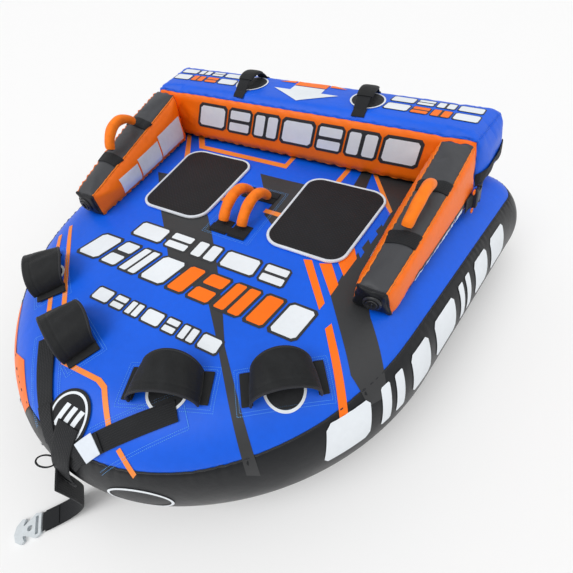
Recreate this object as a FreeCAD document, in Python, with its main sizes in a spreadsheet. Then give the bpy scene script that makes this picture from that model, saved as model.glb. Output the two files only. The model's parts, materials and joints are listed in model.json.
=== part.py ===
import FreeCAD, Part
import math
import os

from FreeCAD import Placement, Rotation, Vector

# Towable tube: an inflated wedge-shaped hull in a sewn cover, two seats on deck, two armrests,
# a drop-down backrest held up by side-release buckles, grab handles, and a tow harness.
# +Z is up, the nose and the tow leader point to -Y, and the origin is the bottom centre.

# ---------------------------------------------------------------- driving sizes (mm, degrees)
SIZES = {
    # hull
    "overall_length": (1480, "nose to the rear of the hull"),
    "overall_width": (1720, "across the two rear corners"),
    "hull_height": (360, "bottom to deck"),
    "hull_round": ("=hull_height / 2 - 2", "rounding of the hull's upper and lower edge"),
    "corner_radius": (190, "rear corners in plan"),
    "side_angle": (15.6, "each side's spread towards the rear"),
    "side_straight": (700, "straight stretch of each side"),
    "nose_share": (0.35, "tangent length at the nose over that at the side"),
    "cover_wall": (2.5, "sewn nylon cover"),
    "bladder_wall": (2.5, "welded vinyl bladder"),
    "skin_gap": (1.0, "air between cover and bladder"),
    "top_seam_height": ("=hull_height * 11 / 12", "seam between deck panel and side band"),
    "base_seam_height": ("=hull_height / 6", "seam between side band and bottom panel"),
    "layer_gap": (0.4, "under whatever is sewn or laid on a cover"),
    # webbing
    "webbing_width": (44, "harness and backrest webbing"),
    "webbing_thick": (3, "one layer of webbing"),
    # drop-down backrest
    "back_rear_inset": (62, "hull rear to backrest rear"),
    "back_side_inset": (130, "hull side to backrest end, at its base"),
    "back_depth": (273, "front to rear"),
    "back_height": (193, "base to top"),
    "back_lift": (2, "air between deck and backrest"),
    "back_end_lean": (62, "how far each end leans in from base to top"),
    "back_end_taper": (60, "how much nearer the middle each end is at the front"),
    "back_round": (34, "edge rounding"),
    # armrests
    "arm_length": (556, "front to rear"),
    "arm_gap": (5, "armrest to backrest"),
    "arm_lift": (1, "armrest to deck"),
    "arm_rear_height": (190, "at the backrest"),
    "arm_front_height": (76, "at the front end"),
    "arm_base_width": (162, "at the rear, on deck"),
    "arm_top_width": (100, "at the rear, on top"),
    "arm_front_width": (100, "at the front end"),
    "arm_front_step": (134, "how much nearer the middle the front end's outer side is"),
    "arm_side_step": (12, "armrest's outer side to the backrest's end"),
    "arm_round": (16, "edge rounding"),
    "arm_cap_thick": (3, "padded strip along the top"),
    "arm_cap_drop": (16, "from the cap's edge to the armrest's edge"),
    # seats
    "seat_length": (367, "front to rear"),
    "seat_back_gap": (82, "seat to backrest"),
    "seat_side_gap": ("=overall_width * 0.0517", "seat to armrest"),
    "seat_inner_edge": ("=overall_width * 0.0733", "middle of the deck to the seat"),
    "seat_front_taper": (21, "each side is nearer the middle of the seat at its front"),
    "seat_front_shift": (31, "front is nearer the middle of the deck"),
    "seat_corner": (52, "corner radius"),
    "seat_thick": (9, "foam pad"),
    "binding_width": (7, "white binding round a seat"),
    "binding_thick": (4, "binding above the deck"),
    # handles with a knuckle guard, fanned round the nose
    "guard_length": (150, "along the handle"),
    "guard_rise": (60, "above the deck"),
    "guard_depth": (64, "front to rear"),
    "guard_wall": (4, "neoprene"),
    "guard_inner_side": ("=overall_width * 0.08626", "inner handle to the middle"),
    "guard_inner_back": (230.9, "inner handle behind the nose"),
    "guard_inner_turn": (21.5, "inner handle's own turn"),
    "guard_outer_side": ("=overall_width * 0.2112", "outer handle to the middle"),
    "guard_outer_back": (337.1, "outer handle behind the nose"),
    "guard_outer_turn": (35, "outer handle's own turn"),
    "patch_length": (150, "sewn patch under a handle"),
    "patch_depth": (48, "sewn patch under a handle"),
    "grip_radius": (12, "foam grip under a guard"),
    "grip_length": (92, "foam grip under a guard"),
    "grip_height": (24, "axis of that grip above the deck"),
    # centre handle: two arched foam grips side by side
    "arch_span": (168, "end to end of an arched grip"),
    "arch_rise": (52, "top of the arch's axis above its ends"),
    "arch_radius": (15, "foam grip"),
    "arch_foot": (18, "the grip's ends above the deck"),
    "arch_spacing": (66, "between the two grips"),
    "arch_forward": (78, "handle centre in front of the seats' centre"),
    "arch_tab_length": (44, "webbing tab in front of and behind the grips"),
    # armrest grips
    "side_grip_span": (150, "end to end"),
    "side_grip_rise": (40, "top of the arch's axis above its ends"),
    "side_grip_place": (0.46, "along the armrest, from its front end"),
    "side_tab_width": (62, "webbing band across the armrest's top"),
    # tow harness and leader
    "harness_side": (193, "strap's end to the middle"),
    "harness_back": (197, "strap's end behind the nose"),
    "harness_low": (232, "how low the straps come down the nose"),
    "tow_loop_width": (62, "sewn loop that holds the leader"),
    "tow_loop_height": (42, "sewn loop, along the nose"),
    "tow_loop_thick": (11, "sewn loop, folded"),
    "tow_loop_angle": (30, "sewn loop, above the hull's middle height, degrees"),
    "leader_width": (48, "flat tow leader"),
    "leader_thick": (4, "two layers sewn together"),
    "leader_heading": (40, "leader from straight ahead in plan, degrees"),
    "leader_start": (11, "leader's upper end in front of the nose"),
    "hook_gap": (10, "leader's lower end to the hook"),
    "hook_length": (62, "moulded tow hook"),
    "hook_width": (56, "across its barbs"),
    "hook_thick": (9, "moulded tow hook"),
    "hook_slot": (7, "webbing slot, along the hook"),
    "hook_slot_margin": (4, "leader's edge to the slot's end"),
    "badge_radius": (50, "round patch on the nose"),
    "badge_back": (104, "its centre behind the nose"),
    # side-release buckles
    "buckle_length": (46, "socket half"),
    "buckle_width": ("=webbing_width + 12", "across the webbing"),
    "buckle_thick": (13, "outwards"),
    "buckle_wall": (2.5, "socket wall"),
    "buckle_clear": (0.6, "latch in its socket"),
    "buckle_height": (52, "its middle above the deck"),
    "buckle_forward": (28, "socket's mouth in front of the backrest"),
    "buckle_lift": (1.5, "webbing clear of the covers"),
    "latch_head": (20, "latch outside its socket"),
    "arm_strap_length": (80, "webbing on the armrest"),
    "buckle_seat": (0.5, "webbing to the buckle above it"),
    "latch_slot": (6, "webbing slot in the latch"),
    "latch_slot_margin": (0.5, "webbing's edge to the slot's end"),
    "back_strap_start": (4, "strap's front end behind the backrest's front"),
    # backrest strap handles
    "strap_handle_x": (228, "each side of the middle"),
    "strap_handle_span": (170, "end to end"),
    "strap_handle_rise": (34, "above the backrest"),
    # valves and zipper
    "valve_radius": (23, "valve flange"),
    "valve_height": (6, "valve flange"),
    "plug_radius": (15, "valve plug"),
    "plug_clear": (0.4, "plug in its valve"),
    "valve_gap": (1, "cover to the valve flange"),
    "valve_floor": (2, "flange under its blind seat"),
    "plug_tab": (5, "pull tab on a plug, thick and high"),
    "hull_valve_angle": (35, "hull valve below the hull's middle height, degrees"),
    "zip_length": (1120, "tape across the rear"),
    "zip_width": (30, "tape"),
    "zip_thick": (2, "tape and teeth"),
    "zip_angle": (26, "above the hull's middle height, degrees"),
    "zip_gap": (1.5, "cover to the tape"),
    "slider_length": (16, "zip slider"),
    "slider_width": (12, "zip slider"),
    "slider_thick": (6, "zip slider"),
    "slider_start": (10, "slider to the tape's end"),
    "pull_length": (30, "slider's pull"),
    "pull_width": (6, "slider's pull"),
    "pull_thick": (2, "slider's pull"),
}

doc = FreeCAD.newDocument("towable_tube")
sheet = doc.addObject("Spreadsheet::Sheet", "Sizes")
for row, (alias, (value, meaning)) in enumerate(SIZES.items(), start=1):
    sheet.set(f"A{row}", meaning)
    sheet.set(f"B{row}", str(value))
    sheet.setAlias(f"B{row}", alias)
doc.recompute()


class Dim:
    """Reads a size from the sheet: dim.seat_thick is the number in that cell."""

    def __getattr__(self, name):
        return float(sheet.get(name))


dim = Dim()
nodes = {}

REAR_Y = dim.overall_length / 2
NOSE_Y = -dim.overall_length / 2
HALF_WIDTH = dim.overall_width / 2
DECK = dim.hull_height
SIDES = {"right": 1, "left": -1}


# ---------------------------------------------------------------- helpers
def bind(obj, **expressions):
    """Bind properties to the sheet: bind(box, Length="seat_length")."""
    for prop, expression in expressions.items():
        words = expression
        for alias in sorted(SIZES, key=len, reverse=True):
            words = _replace_word(words, alias)
        obj.setExpression(prop, words)


def _replace_word(text, alias):
    """Put the sheet's name before an alias wherever it stands as a whole word."""
    out = []
    for piece in _split_words(text):
        out.append(f"Sizes.{alias}" if piece == alias else piece)
    return "".join(out)


def _split_words(text):
    """Cut an expression into names and the signs between them; Sizes.name stays whole."""
    pieces, word = [], ""
    for sign in text:
        if sign.isalnum() or sign in "_.":
            word += sign
        else:
            pieces += [word, sign]
            word = ""
    return pieces + [word]


def keep(label, obj, placement=None):
    """Name an object as a sub-part, and put it where it belongs."""
    obj.Label = label
    if placement is not None:
        obj.Placement = placement
    nodes[label] = obj
    return obj


def origin_plane(body, role):
    return next(f for f in body.Origin.OriginFeatures if f.Role == role)


def add_sketch(body, name, role, offset=None):
    sketch = body.newObject("Sketcher::SketchObject", name)
    sketch.AttachmentSupport = [(origin_plane(body, role), "")]
    sketch.MapMode = "FlatFace"
    if offset is not None:
        sketch.AttachmentOffset = offset
    return sketch


def draw_polygon(sketch, points):
    """Closed straight-sided outline through (x, y) points."""
    corners = [Vector(x, y, 0) for x, y in points]
    for start, end in zip(corners, corners[1:] + corners[:1]):
        sketch.addGeometry(Part.LineSegment(start, end), False)


def add_pad(body, sketch, **expressions):
    pad = body.newObject("PartDesign::Pad", "Pad")
    pad.Profile = sketch
    bind(pad, **expressions)
    doc.recompute()
    return pad


def add_fillet(body, base, edges, **expressions):
    fillet = body.newObject("PartDesign::Fillet", "Fillet")
    fillet.Base = (base, edges)
    bind(fillet, **expressions)
    body.Tip = fillet
    doc.recompute()
    return fillet


def edges_where(shape, test):
    return [f"Edge{i}" for i, e in enumerate(shape.Edges, start=1) if test(e)]


def box(name, size, corner, **expressions):
    """A Part::Box with (x, y, z) lengths and its lowest corner; expressions bind its lengths."""
    obj = doc.addObject("Part::Box", name)
    obj.Length, obj.Width, obj.Height = size
    obj.Placement = Placement(Vector(*corner), Rotation())
    bind(obj, **expressions)
    return obj


def cylinder(name, radius, height, placement, **expressions):
    obj = doc.addObject("Part::Cylinder", name)
    obj.Radius, obj.Height = radius, height
    obj.Placement = placement
    bind(obj, **expressions)
    return obj


def cut(name, base, tool):
    obj = doc.addObject("Part::Cut", name)
    obj.Base, obj.Tool = base, tool
    doc.recompute()
    return obj


def common(name, base, tool):
    obj = doc.addObject("Part::Common", name)
    obj.Base, obj.Tool = base, tool
    doc.recompute()
    return obj


def fuse(name, shapes):
    obj = doc.addObject("Part::MultiFuse", name)
    obj.Shapes = shapes
    doc.recompute()
    return obj


def group(name, objects):
    """Several separate solids as one sub-part."""
    obj = doc.addObject("Part::Compound", name)
    obj.Links = objects
    doc.recompute()
    return obj


def frame_at(origin, x_axis, y_axis):
    """Placement whose local X and Y lie along the two axes given."""
    x_axis = Vector(*x_axis).normalize()
    y_axis = Vector(*y_axis)
    z_axis = x_axis.cross(y_axis).normalize()
    y_axis = z_axis.cross(x_axis)
    return Placement(Vector(*origin), Rotation(x_axis, y_axis, z_axis, "XYZ"))


# ---------------------------------------------------------------- hull outline
def outline_arcs():
    """The right half of the hull's outline, nose to rear.

    A straight side is tangent to the rear corner's arc. Two arcs that meet with one tangent
    run from the nose, which they leave square to the centre line, to the front of that side.
    Returns each arc as (centre, radius, start angle, end angle) in degrees from +X.
    """
    lean = math.radians(dim.side_angle)
    normal = Vector(math.cos(lean), -math.sin(lean), 0)
    along = Vector(math.sin(lean), math.cos(lean), 0)
    corner = Vector(HALF_WIDTH - dim.corner_radius, REAR_Y - dim.corner_radius, 0)
    side_start = corner + normal * dim.corner_radius - along * dim.side_straight
    nose = Vector(0, NOSE_Y, 0)
    ahead = Vector(1, 0, 0)
    chord = side_start - nose
    share = dim.nose_share
    square = 2 * share * (1 - ahead.dot(along))
    linear = share * chord.dot(ahead) + chord.dot(along)
    reach = (math.sqrt(linear * linear + square * chord.dot(chord)) - linear) / square
    near = nose + ahead * (share * reach)
    far = side_start - along * reach
    meet = (near + far * share) / (1 + share)
    step = meet - nose
    nose_radius = step.dot(step) / (2 * step.y)
    nose_centre = nose + Vector(0, nose_radius, 0)
    gap = side_start - nose_centre
    bow_radius = (gap.dot(gap) - nose_radius ** 2) / (2 * (gap.dot(normal) - nose_radius))
    bow_centre = side_start - normal * bow_radius
    meet_angle = math.degrees(math.atan2(meet.y - nose_centre.y, meet.x))
    return [
        (nose_centre, nose_radius, -90.0, meet_angle),
        (bow_centre, bow_radius, meet_angle, -dim.side_angle),
        (corner, dim.corner_radius, -dim.side_angle, 90.0),
    ]


ARCS = outline_arcs()


def draw_outline(sketch, inset):
    """The whole outline, moved in by inset: three arcs a side, two sides and the rear edge."""
    def arc(centre, radius, start, end):
        circle = Part.Circle(centre, Vector(0, 0, 1), radius - inset)
        return Part.ArcOfCircle(circle, math.radians(start), math.radians(end))

    def end_point(centre, radius, angle):
        turn = math.radians(angle)
        return centre + Vector(math.cos(turn), math.sin(turn), 0) * (radius - inset)

    def flip(point):
        return Vector(-point.x, point.y, 0)

    pieces = [arc(*ARCS[0]), arc(*ARCS[1])]
    side = (end_point(*ARCS[1][:2], ARCS[1][3]), end_point(*ARCS[2][:2], ARCS[2][2]))
    rear = end_point(*ARCS[2][:2], ARCS[2][3])
    pieces += [Part.LineSegment(*side), arc(*ARCS[2]), Part.LineSegment(rear, flip(rear))]
    centre, radius, start, end = ARCS[2]
    pieces.append(arc(flip(centre), radius, 180 - end, 180 - start))
    pieces.append(Part.LineSegment(flip(side[1]), flip(side[0])))
    for centre, radius, start, end in (ARCS[1], ARCS[0]):
        pieces.append(arc(flip(centre), radius, 180 - end, 180 - start))
    for piece in pieces:
        sketch.addGeometry(piece, False)


def hull_form(name, inset):
    """Outline padded to the hull's height with both rims rounded, all moved in by inset."""
    body = doc.addObject("PartDesign::Body", name)
    base = Placement(Vector(0, 0, inset), Rotation())
    sketch = add_sketch(body, name + "Outline", "XY_Plane", base)
    draw_outline(sketch, inset)
    pad = add_pad(body, sketch, Length=f"hull_height - {2 * inset}")
    rims = edges_where(pad.Shape, lambda e: abs(e.CenterOfMass.z - DECK / 2) > DECK / 2 - inset - 0.01)
    add_fillet(body, pad, rims, Radius=f"hull_round - {inset}")
    return body


def level_box(name, low, high):
    """A box wider than the hull between two heights."""
    side = 2 * (dim.overall_length + dim.overall_width)
    return box(name, (side, side, high - low), (-side / 2, -side / 2, low))


# ---------------------------------------------------------------- hull
def build_hull():
    """Three cover panels that meet at the seams, and the bladder that they hold."""
    wall = dim.cover_wall
    cover = cut("CoverShell", hull_form("CoverOuter", 0), hull_form("CoverInner", wall))
    levels = {
        "cover_bottom": (-10, dim.base_seam_height),
        "cover_side": (dim.base_seam_height, dim.top_seam_height),
        "cover_top": (dim.top_seam_height, DECK + 10),
    }
    for label, (low, high) in levels.items():
        keep(label, common(label, cover, level_box(label + "Slice", low, high)))
    outside = wall + dim.skin_gap
    shell = cut("HullBladder", hull_form("BladderOuter", outside),
                hull_form("BladderInner", outside + dim.bladder_wall))
    keep("hull_bladder", shell)


def build_layer():
    """One webbing's thickness all over the hull, from which what is sewn on it is cut."""
    low = -dim.layer_gap
    return cut("Layer", hull_form("LayerOuter", low - dim.webbing_thick), hull_form("LayerInner", low))


def prism(name, points, low, high, placement=None):
    """Upright prism over a plan outline."""
    body = doc.addObject("PartDesign::Body", name)
    sketch = add_sketch(body, name + "Plan", "XY_Plane", Placement(Vector(0, 0, low), Rotation()))
    draw_polygon(sketch, points)
    pad = body.newObject("PartDesign::Pad", "Pad")
    pad.Profile = sketch
    pad.Length = high - low
    if placement is not None:
        body.Placement = placement
    doc.recompute()
    return body


# ---------------------------------------------------------------- lofted cushions
def block_between(name, lower, upper, radius):
    """Flat-sided block between two four-sided sections whose corners match, all edges rounded."""
    if (lower[1] - lower[0]).cross(lower[3] - lower[0]).dot(upper[0] - lower[0]) < 0:
        lower, upper = upper, lower
    faces = [lower[::-1], upper]
    for i in range(4):
        j = (i + 1) % 4
        faces.append([lower[i], lower[j], upper[j], upper[i]])
    sides = [Part.Face(Part.makePolygon(corners + corners[:1])) for corners in faces]
    solid = Part.Solid(Part.Shell(sides))
    block = doc.addObject("Part::Feature", name)
    block.Shape = solid.makeFillet(radius, solid.Edges).Solids[0]
    return block


BACK_REAR = REAR_Y - dim.back_rear_inset
BACK_FRONT = BACK_REAR - dim.back_depth
BACK_BASE = DECK + dim.back_lift
BACK_TOP = BACK_BASE + dim.back_height
BACK_HALF = HALF_WIDTH - dim.back_side_inset


def backrest_form(name, inset):
    """Backrest block: longer at the base than on top, and at the rear than at the front."""
    def section(half_rear, height):
        half_rear -= inset
        half_front = half_rear - dim.back_end_taper
        front, rear = BACK_FRONT + inset, BACK_REAR - inset
        return [Vector(-half_front, front, height), Vector(half_front, front, height),
                Vector(half_rear, rear, height), Vector(-half_rear, rear, height)]

    return block_between(name, section(BACK_HALF, BACK_BASE + inset),
                         section(BACK_HALF - dim.back_end_lean, BACK_TOP - inset), dim.back_round - inset)


ARM_REAR = BACK_FRONT - dim.arm_gap
ARM_FRONT = ARM_REAR - dim.arm_length
ARM_BASE = DECK + dim.arm_lift
ARM_OUTER = BACK_HALF - dim.back_end_taper - dim.arm_side_step
ARM_INNER = ARM_OUTER - dim.arm_base_width
ARM_FRONT_INNER = ARM_OUTER - dim.arm_front_step - dim.arm_front_width


ARM_LEAN = (dim.arm_base_width - dim.arm_top_width) / dim.arm_rear_height
CAP_LIFT = 1.0


def armrest_form(name, inset, side):
    """Armrest wedge: high and wide at the rear, low and narrow at the front end.

    Its inner side is upright and its outer side leans in by the same angle all along.
    """
    def section(y, inner, width, height):
        base, top = ARM_BASE + inset, ARM_BASE + height - inset
        lean = ARM_LEAN * (height - 2 * inset)
        corners = [(inner + inset, base), (inner + width - inset, base),
                   (inner + width - inset - lean, top), (inner + inset, top)]
        return [Vector(side * x, y, z) for x, z in corners]

    front = section(ARM_FRONT + inset, ARM_FRONT_INNER, dim.arm_front_width, dim.arm_front_height)
    rear = section(ARM_REAR - inset, ARM_INNER, dim.arm_base_width, dim.arm_rear_height)
    return block_between(name, front, rear, dim.arm_round - inset)


def build_cushion(cover_label, bladder_label, form):
    """A sewn cover over a bladder, both hollow."""
    wall = dim.cover_wall
    outside = wall + dim.skin_gap
    keep(cover_label, cut(cover_label, form(cover_label + "Out", 0), form(cover_label + "In", wall)))
    keep(bladder_label, cut(bladder_label, form(bladder_label + "Out", outside),
                            form(bladder_label + "In", outside + dim.bladder_wall)))


def arm_top_frame(side):
    """Placement on an armrest's sloping top, at its front end: X to the rear along it, Z out."""
    front_wide = dim.arm_front_width - ARM_LEAN * dim.arm_front_height
    front = Vector(side * (ARM_FRONT_INNER + front_wide / 2), ARM_FRONT, ARM_BASE + dim.arm_front_height)
    rear = Vector(side * (ARM_INNER + dim.arm_top_width / 2), ARM_REAR, ARM_BASE + dim.arm_rear_height)
    along = rear - front
    return frame_at(front, along, Vector(0, 0, 1).cross(along)), along.Length, front_wide


def build_arm_caps():
    """Padded strip that lies along the sloping top of each armrest, in the top's own plane."""
    drop = dim.arm_cap_drop
    for side_name, side in SIDES.items():
        place, length, front_wide = arm_top_frame(side)
        half_front, half_rear = front_wide / 2 - drop, dim.arm_top_width / 2 - drop
        points = [(drop, -half_front), (length - drop, -half_rear),
                  (length - drop, half_rear), (drop, half_front)]
        body = prism(f"ArmCap_{side_name}", points, CAP_LIFT, CAP_LIFT + dim.arm_cap_thick, place)
        keep(f"armrest_cap_{side_name}", body)


# ---------------------------------------------------------------- seats
def seat_corners(side, grow):
    """A seat's four corners in plan, moved out by grow."""
    rear = BACK_FRONT - dim.seat_back_gap
    inner = dim.seat_inner_edge
    outer = ARM_INNER - dim.seat_side_gap
    shift, taper = dim.seat_front_shift, dim.seat_front_taper
    corners = [
        (inner - grow, rear + grow),
        (inner - shift + taper - grow, rear - dim.seat_length - grow),
        (outer - shift - taper + grow, rear - dim.seat_length - grow),
        (outer + grow, rear + grow),
    ]
    return [(side * x, y) for x, y in corners]


def rounded_plate(name, points, low, thick, corner):
    """Flat plate over a quadrilateral with its upright edges rounded."""
    body = doc.addObject("PartDesign::Body", name)
    sketch = add_sketch(body, name + "Plan", "XY_Plane", Placement(Vector(0, 0, low), Rotation()))
    draw_polygon(sketch, points)
    pad = add_pad(body, sketch, Length=thick)
    upright = edges_where(pad.Shape, lambda e: abs(e.tangentAt(e.FirstParameter).z) > 0.99)
    add_fillet(body, pad, upright, Radius=corner)
    return body


def build_seats():
    low = DECK + dim.layer_gap
    for side_name, side in SIDES.items():
        keep(f"seat_pad_{side_name}",
             rounded_plate(f"Seat_{side_name}", seat_corners(side, 0), low, "seat_thick", "seat_corner"))
        ring_out = rounded_plate(f"BindingOut_{side_name}", seat_corners(side, dim.binding_width), low,
                                 "binding_thick", "seat_corner + binding_width")
        ring_in = rounded_plate(f"BindingIn_{side_name}", seat_corners(side, dim.layer_gap), low - 1,
                                "binding_thick + 2", "seat_corner + layer_gap")
        keep(f"seat_binding_{side_name}", cut(f"Binding_{side_name}", ring_out, ring_in))


# ---------------------------------------------------------------- handles with knuckle guards
def guard_places():
    """Name and placement of the four guarded handles; local X is along the handle."""
    places = {}
    for spot in ("inner", "outer"):
        across = getattr(dim, f"guard_{spot}_side")
        back = getattr(dim, f"guard_{spot}_back")
        turn = getattr(dim, f"guard_{spot}_turn")
        for side_name, side in SIDES.items():
            where = Vector(side * across, NOSE_Y + back, DECK)
            places[f"{spot}_{side_name}"] = Placement(where, Rotation(Vector(0, 0, 1), side * turn))
    return places


def build_guarded_handles(layer):
    """Sewn patch on the deck, foam grip along it, and the neoprene arch over the knuckles."""
    half = dim.guard_length / 2
    arch = (half ** 2 + dim.guard_rise ** 2) / (2 * dim.guard_rise)
    lift = dim.layer_gap + dim.webbing_thick + 1
    lying = Rotation(Vector(1, 0, 0), -90)
    patches = []
    for place_name, place in guard_places().items():
        x, y = dim.patch_length / 2, dim.patch_depth / 2
        plan = prism(f"PatchPlan_{place_name}", [(-x, -y), (x, -y), (x, y), (-x, y)],
                     -dim.hull_round / 2, 20, place)
        patches.append(common(f"Patch_{place_name}", layer, plan))
        centre = Vector(0, -dim.guard_depth / 2, dim.guard_rise - arch + lift)
        outer = cylinder(f"GuardOut_{place_name}", arch, dim.guard_depth, Placement(centre, lying),
                         Height="guard_depth")
        inner = cylinder(f"GuardIn_{place_name}", arch - dim.guard_wall, dim.guard_depth,
                         Placement(centre, lying), Height="guard_depth")
        arched = cut(f"GuardRing_{place_name}", outer, inner)
        above = box(f"GuardAbove_{place_name}", (3 * half, 3 * half, 3 * half),
                    (-1.5 * half, -1.5 * half, lift))
        keep(f"knuckle_guard_{place_name}", common(f"Guard_{place_name}", arched, above), place)
        start = Placement(Vector(-dim.grip_length / 2, 0, lift + dim.grip_height),
                          Rotation(Vector(0, 1, 0), 90))
        grip = cylinder(f"Grip_{place_name}", dim.grip_radius, dim.grip_length, start,
                        Radius="grip_radius", Height="grip_length")
        keep(f"guard_grip_{place_name}", group(f"GripGroup_{place_name}", [grip]), place)
    keep("guard_patches", group("GuardPatches", patches))


# ---------------------------------------------------------------- arched grips
def arched_tube(name, span, rise, radius):
    """A foam tube bent to an arc in its local XZ plane; both ends at z = 0."""
    bend = (span ** 2 / 4 + rise ** 2) / (2 * rise)
    half_turn = math.degrees(math.asin(span / 2 / bend))
    tube = doc.addObject("Part::Torus", name)
    tube.Radius1, tube.Radius2 = bend, radius
    tube.Angle1, tube.Angle2, tube.Angle3 = -180, 180, 2 * half_turn
    # the torus lies in XY and starts at +X: stand it up and turn its middle to the top
    stand = Rotation(Vector(1, 0, 0), 90)
    turn = Rotation(Vector(0, 0, 1), 90 - half_turn)
    tube.Placement = Placement(Vector(0, 0, rise - bend), stand.multiply(turn))
    doc.recompute()
    return tube


SEAT_MIDDLE = BACK_FRONT - dim.seat_back_gap - dim.seat_length / 2
ARCH_Y = SEAT_MIDDLE - dim.arch_forward


def build_centre_handle():
    """Two arched grips that swing about the line through their ends, and their sewn tabs."""
    for side_name, side in SIDES.items():
        tube = arched_tube(f"Arch_{side_name}", dim.arch_span, dim.arch_rise, dim.arch_radius)
        where = Placement(Vector(side * dim.arch_spacing / 2, ARCH_Y, DECK + dim.arch_foot),
                          Rotation(Vector(0, 0, 1), 90))
        keep(f"centre_grip_{side_name}", group(f"ArchGroup_{side_name}", [tube]), where)
    tabs = []
    wide = dim.arch_spacing + 1.4 * dim.webbing_width
    for name, way in (("Rear", 1), ("Front", -1)):
        middle = ARCH_Y + way * (dim.arch_span + dim.arch_tab_length) / 2
        tabs.append(box(f"CentreTab{name}", (wide, dim.arch_tab_length, dim.webbing_thick),
                        (-wide / 2, middle - dim.arch_tab_length / 2, DECK + dim.layer_gap),
                        Width="arch_tab_length", Height="webbing_thick"))
    keep("centre_handle_tabs", group("CentreTabs", tabs))


def side_grip_frame(side):
    """Placement of an armrest grip: X along the line through its ends, above the padded strip."""
    top, length, _ = arm_top_frame(side)
    rise = CAP_LIFT + dim.arm_cap_thick + dim.arch_foot
    return top.multiply(Placement(Vector(dim.side_grip_place * length, 0, rise), Rotation()))


def build_side_grips():
    """Arched grip on top of each armrest, with a webbing band across the top at each end."""
    for side_name, side in SIDES.items():
        place = side_grip_frame(side)
        tube = arched_tube(f"SideArch_{side_name}", dim.side_grip_span, dim.side_grip_rise, dim.arch_radius)
        keep(f"armrest_grip_{side_name}", group(f"SideArchGroup_{side_name}", [tube]), place)
        tabs = []
        long, wide = dim.webbing_width, dim.side_tab_width
        for name, way in (("Rear", 1), ("Front", -1)):
            middle = way * (dim.side_grip_span + long) / 2
            tabs.append(box(f"SideTab{name}_{side_name}", (long, wide, dim.webbing_thick),
                            (middle - long / 2, -wide / 2, dim.layer_gap - dim.arch_foot),
                            Length="webbing_width", Width="side_tab_width", Height="webbing_thick"))
        keep(f"armrest_tabs_{side_name}", group(f"SideTabs_{side_name}", tabs), place)


# ---------------------------------------------------------------- tow harness, leader and hook
def hull_edge_frame(angle, y_centre, way, clear):
    """Placement on the hull's rounded edge on the centre line: X across, Y up the edge, Z out."""
    turn = math.radians(angle)
    out = Vector(0, way * math.cos(turn), math.sin(turn))
    middle = Vector(0, y_centre, DECK - dim.hull_round)
    origin = middle + out * (dim.hull_round + clear)
    up = Vector(0, -way * math.sin(turn), math.cos(turn))
    across = up.cross(out)
    return Placement(origin, Rotation(across, up, out, "XYZ"))


def build_harness(layer):
    """Two webbing straps that run from the deck to the nose, where a sewn loop joins them."""
    end = Vector(dim.harness_side, NOSE_Y + dim.harness_back, 0)
    tip = Vector(0, NOSE_Y - dim.webbing_width / 4, 0)
    along = (tip - end).normalize()
    across = Vector(-along.y, along.x, 0) * (dim.webbing_width / 2)
    tip = tip + along * dim.webbing_width
    for side_name, side in SIDES.items():
        points = [end + across, tip + across, tip - across, end - across]
        plan = prism(f"HarnessPlan_{side_name}", [(side * p.x, p.y) for p in points],
                     dim.harness_low, DECK + 20)
        half = box(f"HarnessHalf_{side_name}", (HALF_WIDTH, dim.overall_length, 2 * DECK),
                   (dim.layer_gap if side > 0 else -dim.layer_gap - HALF_WIDTH, -dim.overall_length, 0))
        strap = common(f"HarnessWide_{side_name}", layer, plan)
        keep(f"harness_strap_{side_name}", common(f"Harness_{side_name}", strap, half))
    clear = dim.layer_gap + dim.webbing_thick + dim.layer_gap
    loop = box("TowLoop", (dim.tow_loop_width, dim.tow_loop_height, dim.tow_loop_thick),
               (-dim.tow_loop_width / 2, -dim.tow_loop_height / 2, 0),
               Length="tow_loop_width", Width="tow_loop_height", Height="tow_loop_thick")
    keep("tow_loop", group("TowLoopGroup", [loop]),
         hull_edge_frame(dim.tow_loop_angle, NOSE_Y + dim.hull_round, -1, clear))


def build_badge(layer):
    """Round patch on the deck's slope behind the nose."""
    centre = Vector(0, NOSE_Y + dim.badge_back, DECK / 2)
    column = cylinder("BadgeColumn", dim.badge_radius, DECK, Placement(centre, Rotation()),
                      Radius="badge_radius")
    keep("nose_badge", common("NoseBadge", layer, column))


# the leader's route in its own upright plane: distance out from its upper end, and height
LEADER_ROUTE = [(0, 0.7 * DECK), (37, 78), (57.5, 44), (88.5, 19.2), (125.5, 6), (166, 6)]


def leader_heading():
    """Level direction in which the leader runs out."""
    turn = math.radians(dim.leader_heading)
    return Vector(-math.sin(turn), -math.cos(turn), 0)


def leader_frame():
    """Placement with local X along the leader's heading and local Y upwards."""
    start = Vector(0, NOSE_Y - dim.leader_start, 0)
    return frame_at(start, leader_heading(), Vector(0, 0, 1))


def flat_route(points):
    """Straight runs joined by tangent arcs, as edges, with the smallest arc radius."""
    corners = [Vector(x, y, 0) for x, y in points]
    edges, start, radii = [], corners[0], []
    for before, here, after in zip(corners, corners[1:], corners[2:]):
        into, out = (here - before), (after - here)
        trim = 0.45 * min(into.Length, out.Length)
        turn = into.getAngle(out)
        radius = trim / math.tan(turn / 2)
        first = here - into.normalize() * trim
        last = here + out.normalize() * trim
        to_centre = (last - here).normalize() + (first - here).normalize()
        centre = here + to_centre.normalize() * math.hypot(radius, trim)
        middle = centre - to_centre * radius
        edges += [Part.LineSegment(start, first).toShape(), Part.Arc(first, middle, last).toShape()]
        start = last
        radii.append(radius)
    edges.append(Part.LineSegment(start, corners[-1]).toShape())
    return Part.Wire(edges), min(radii)


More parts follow.
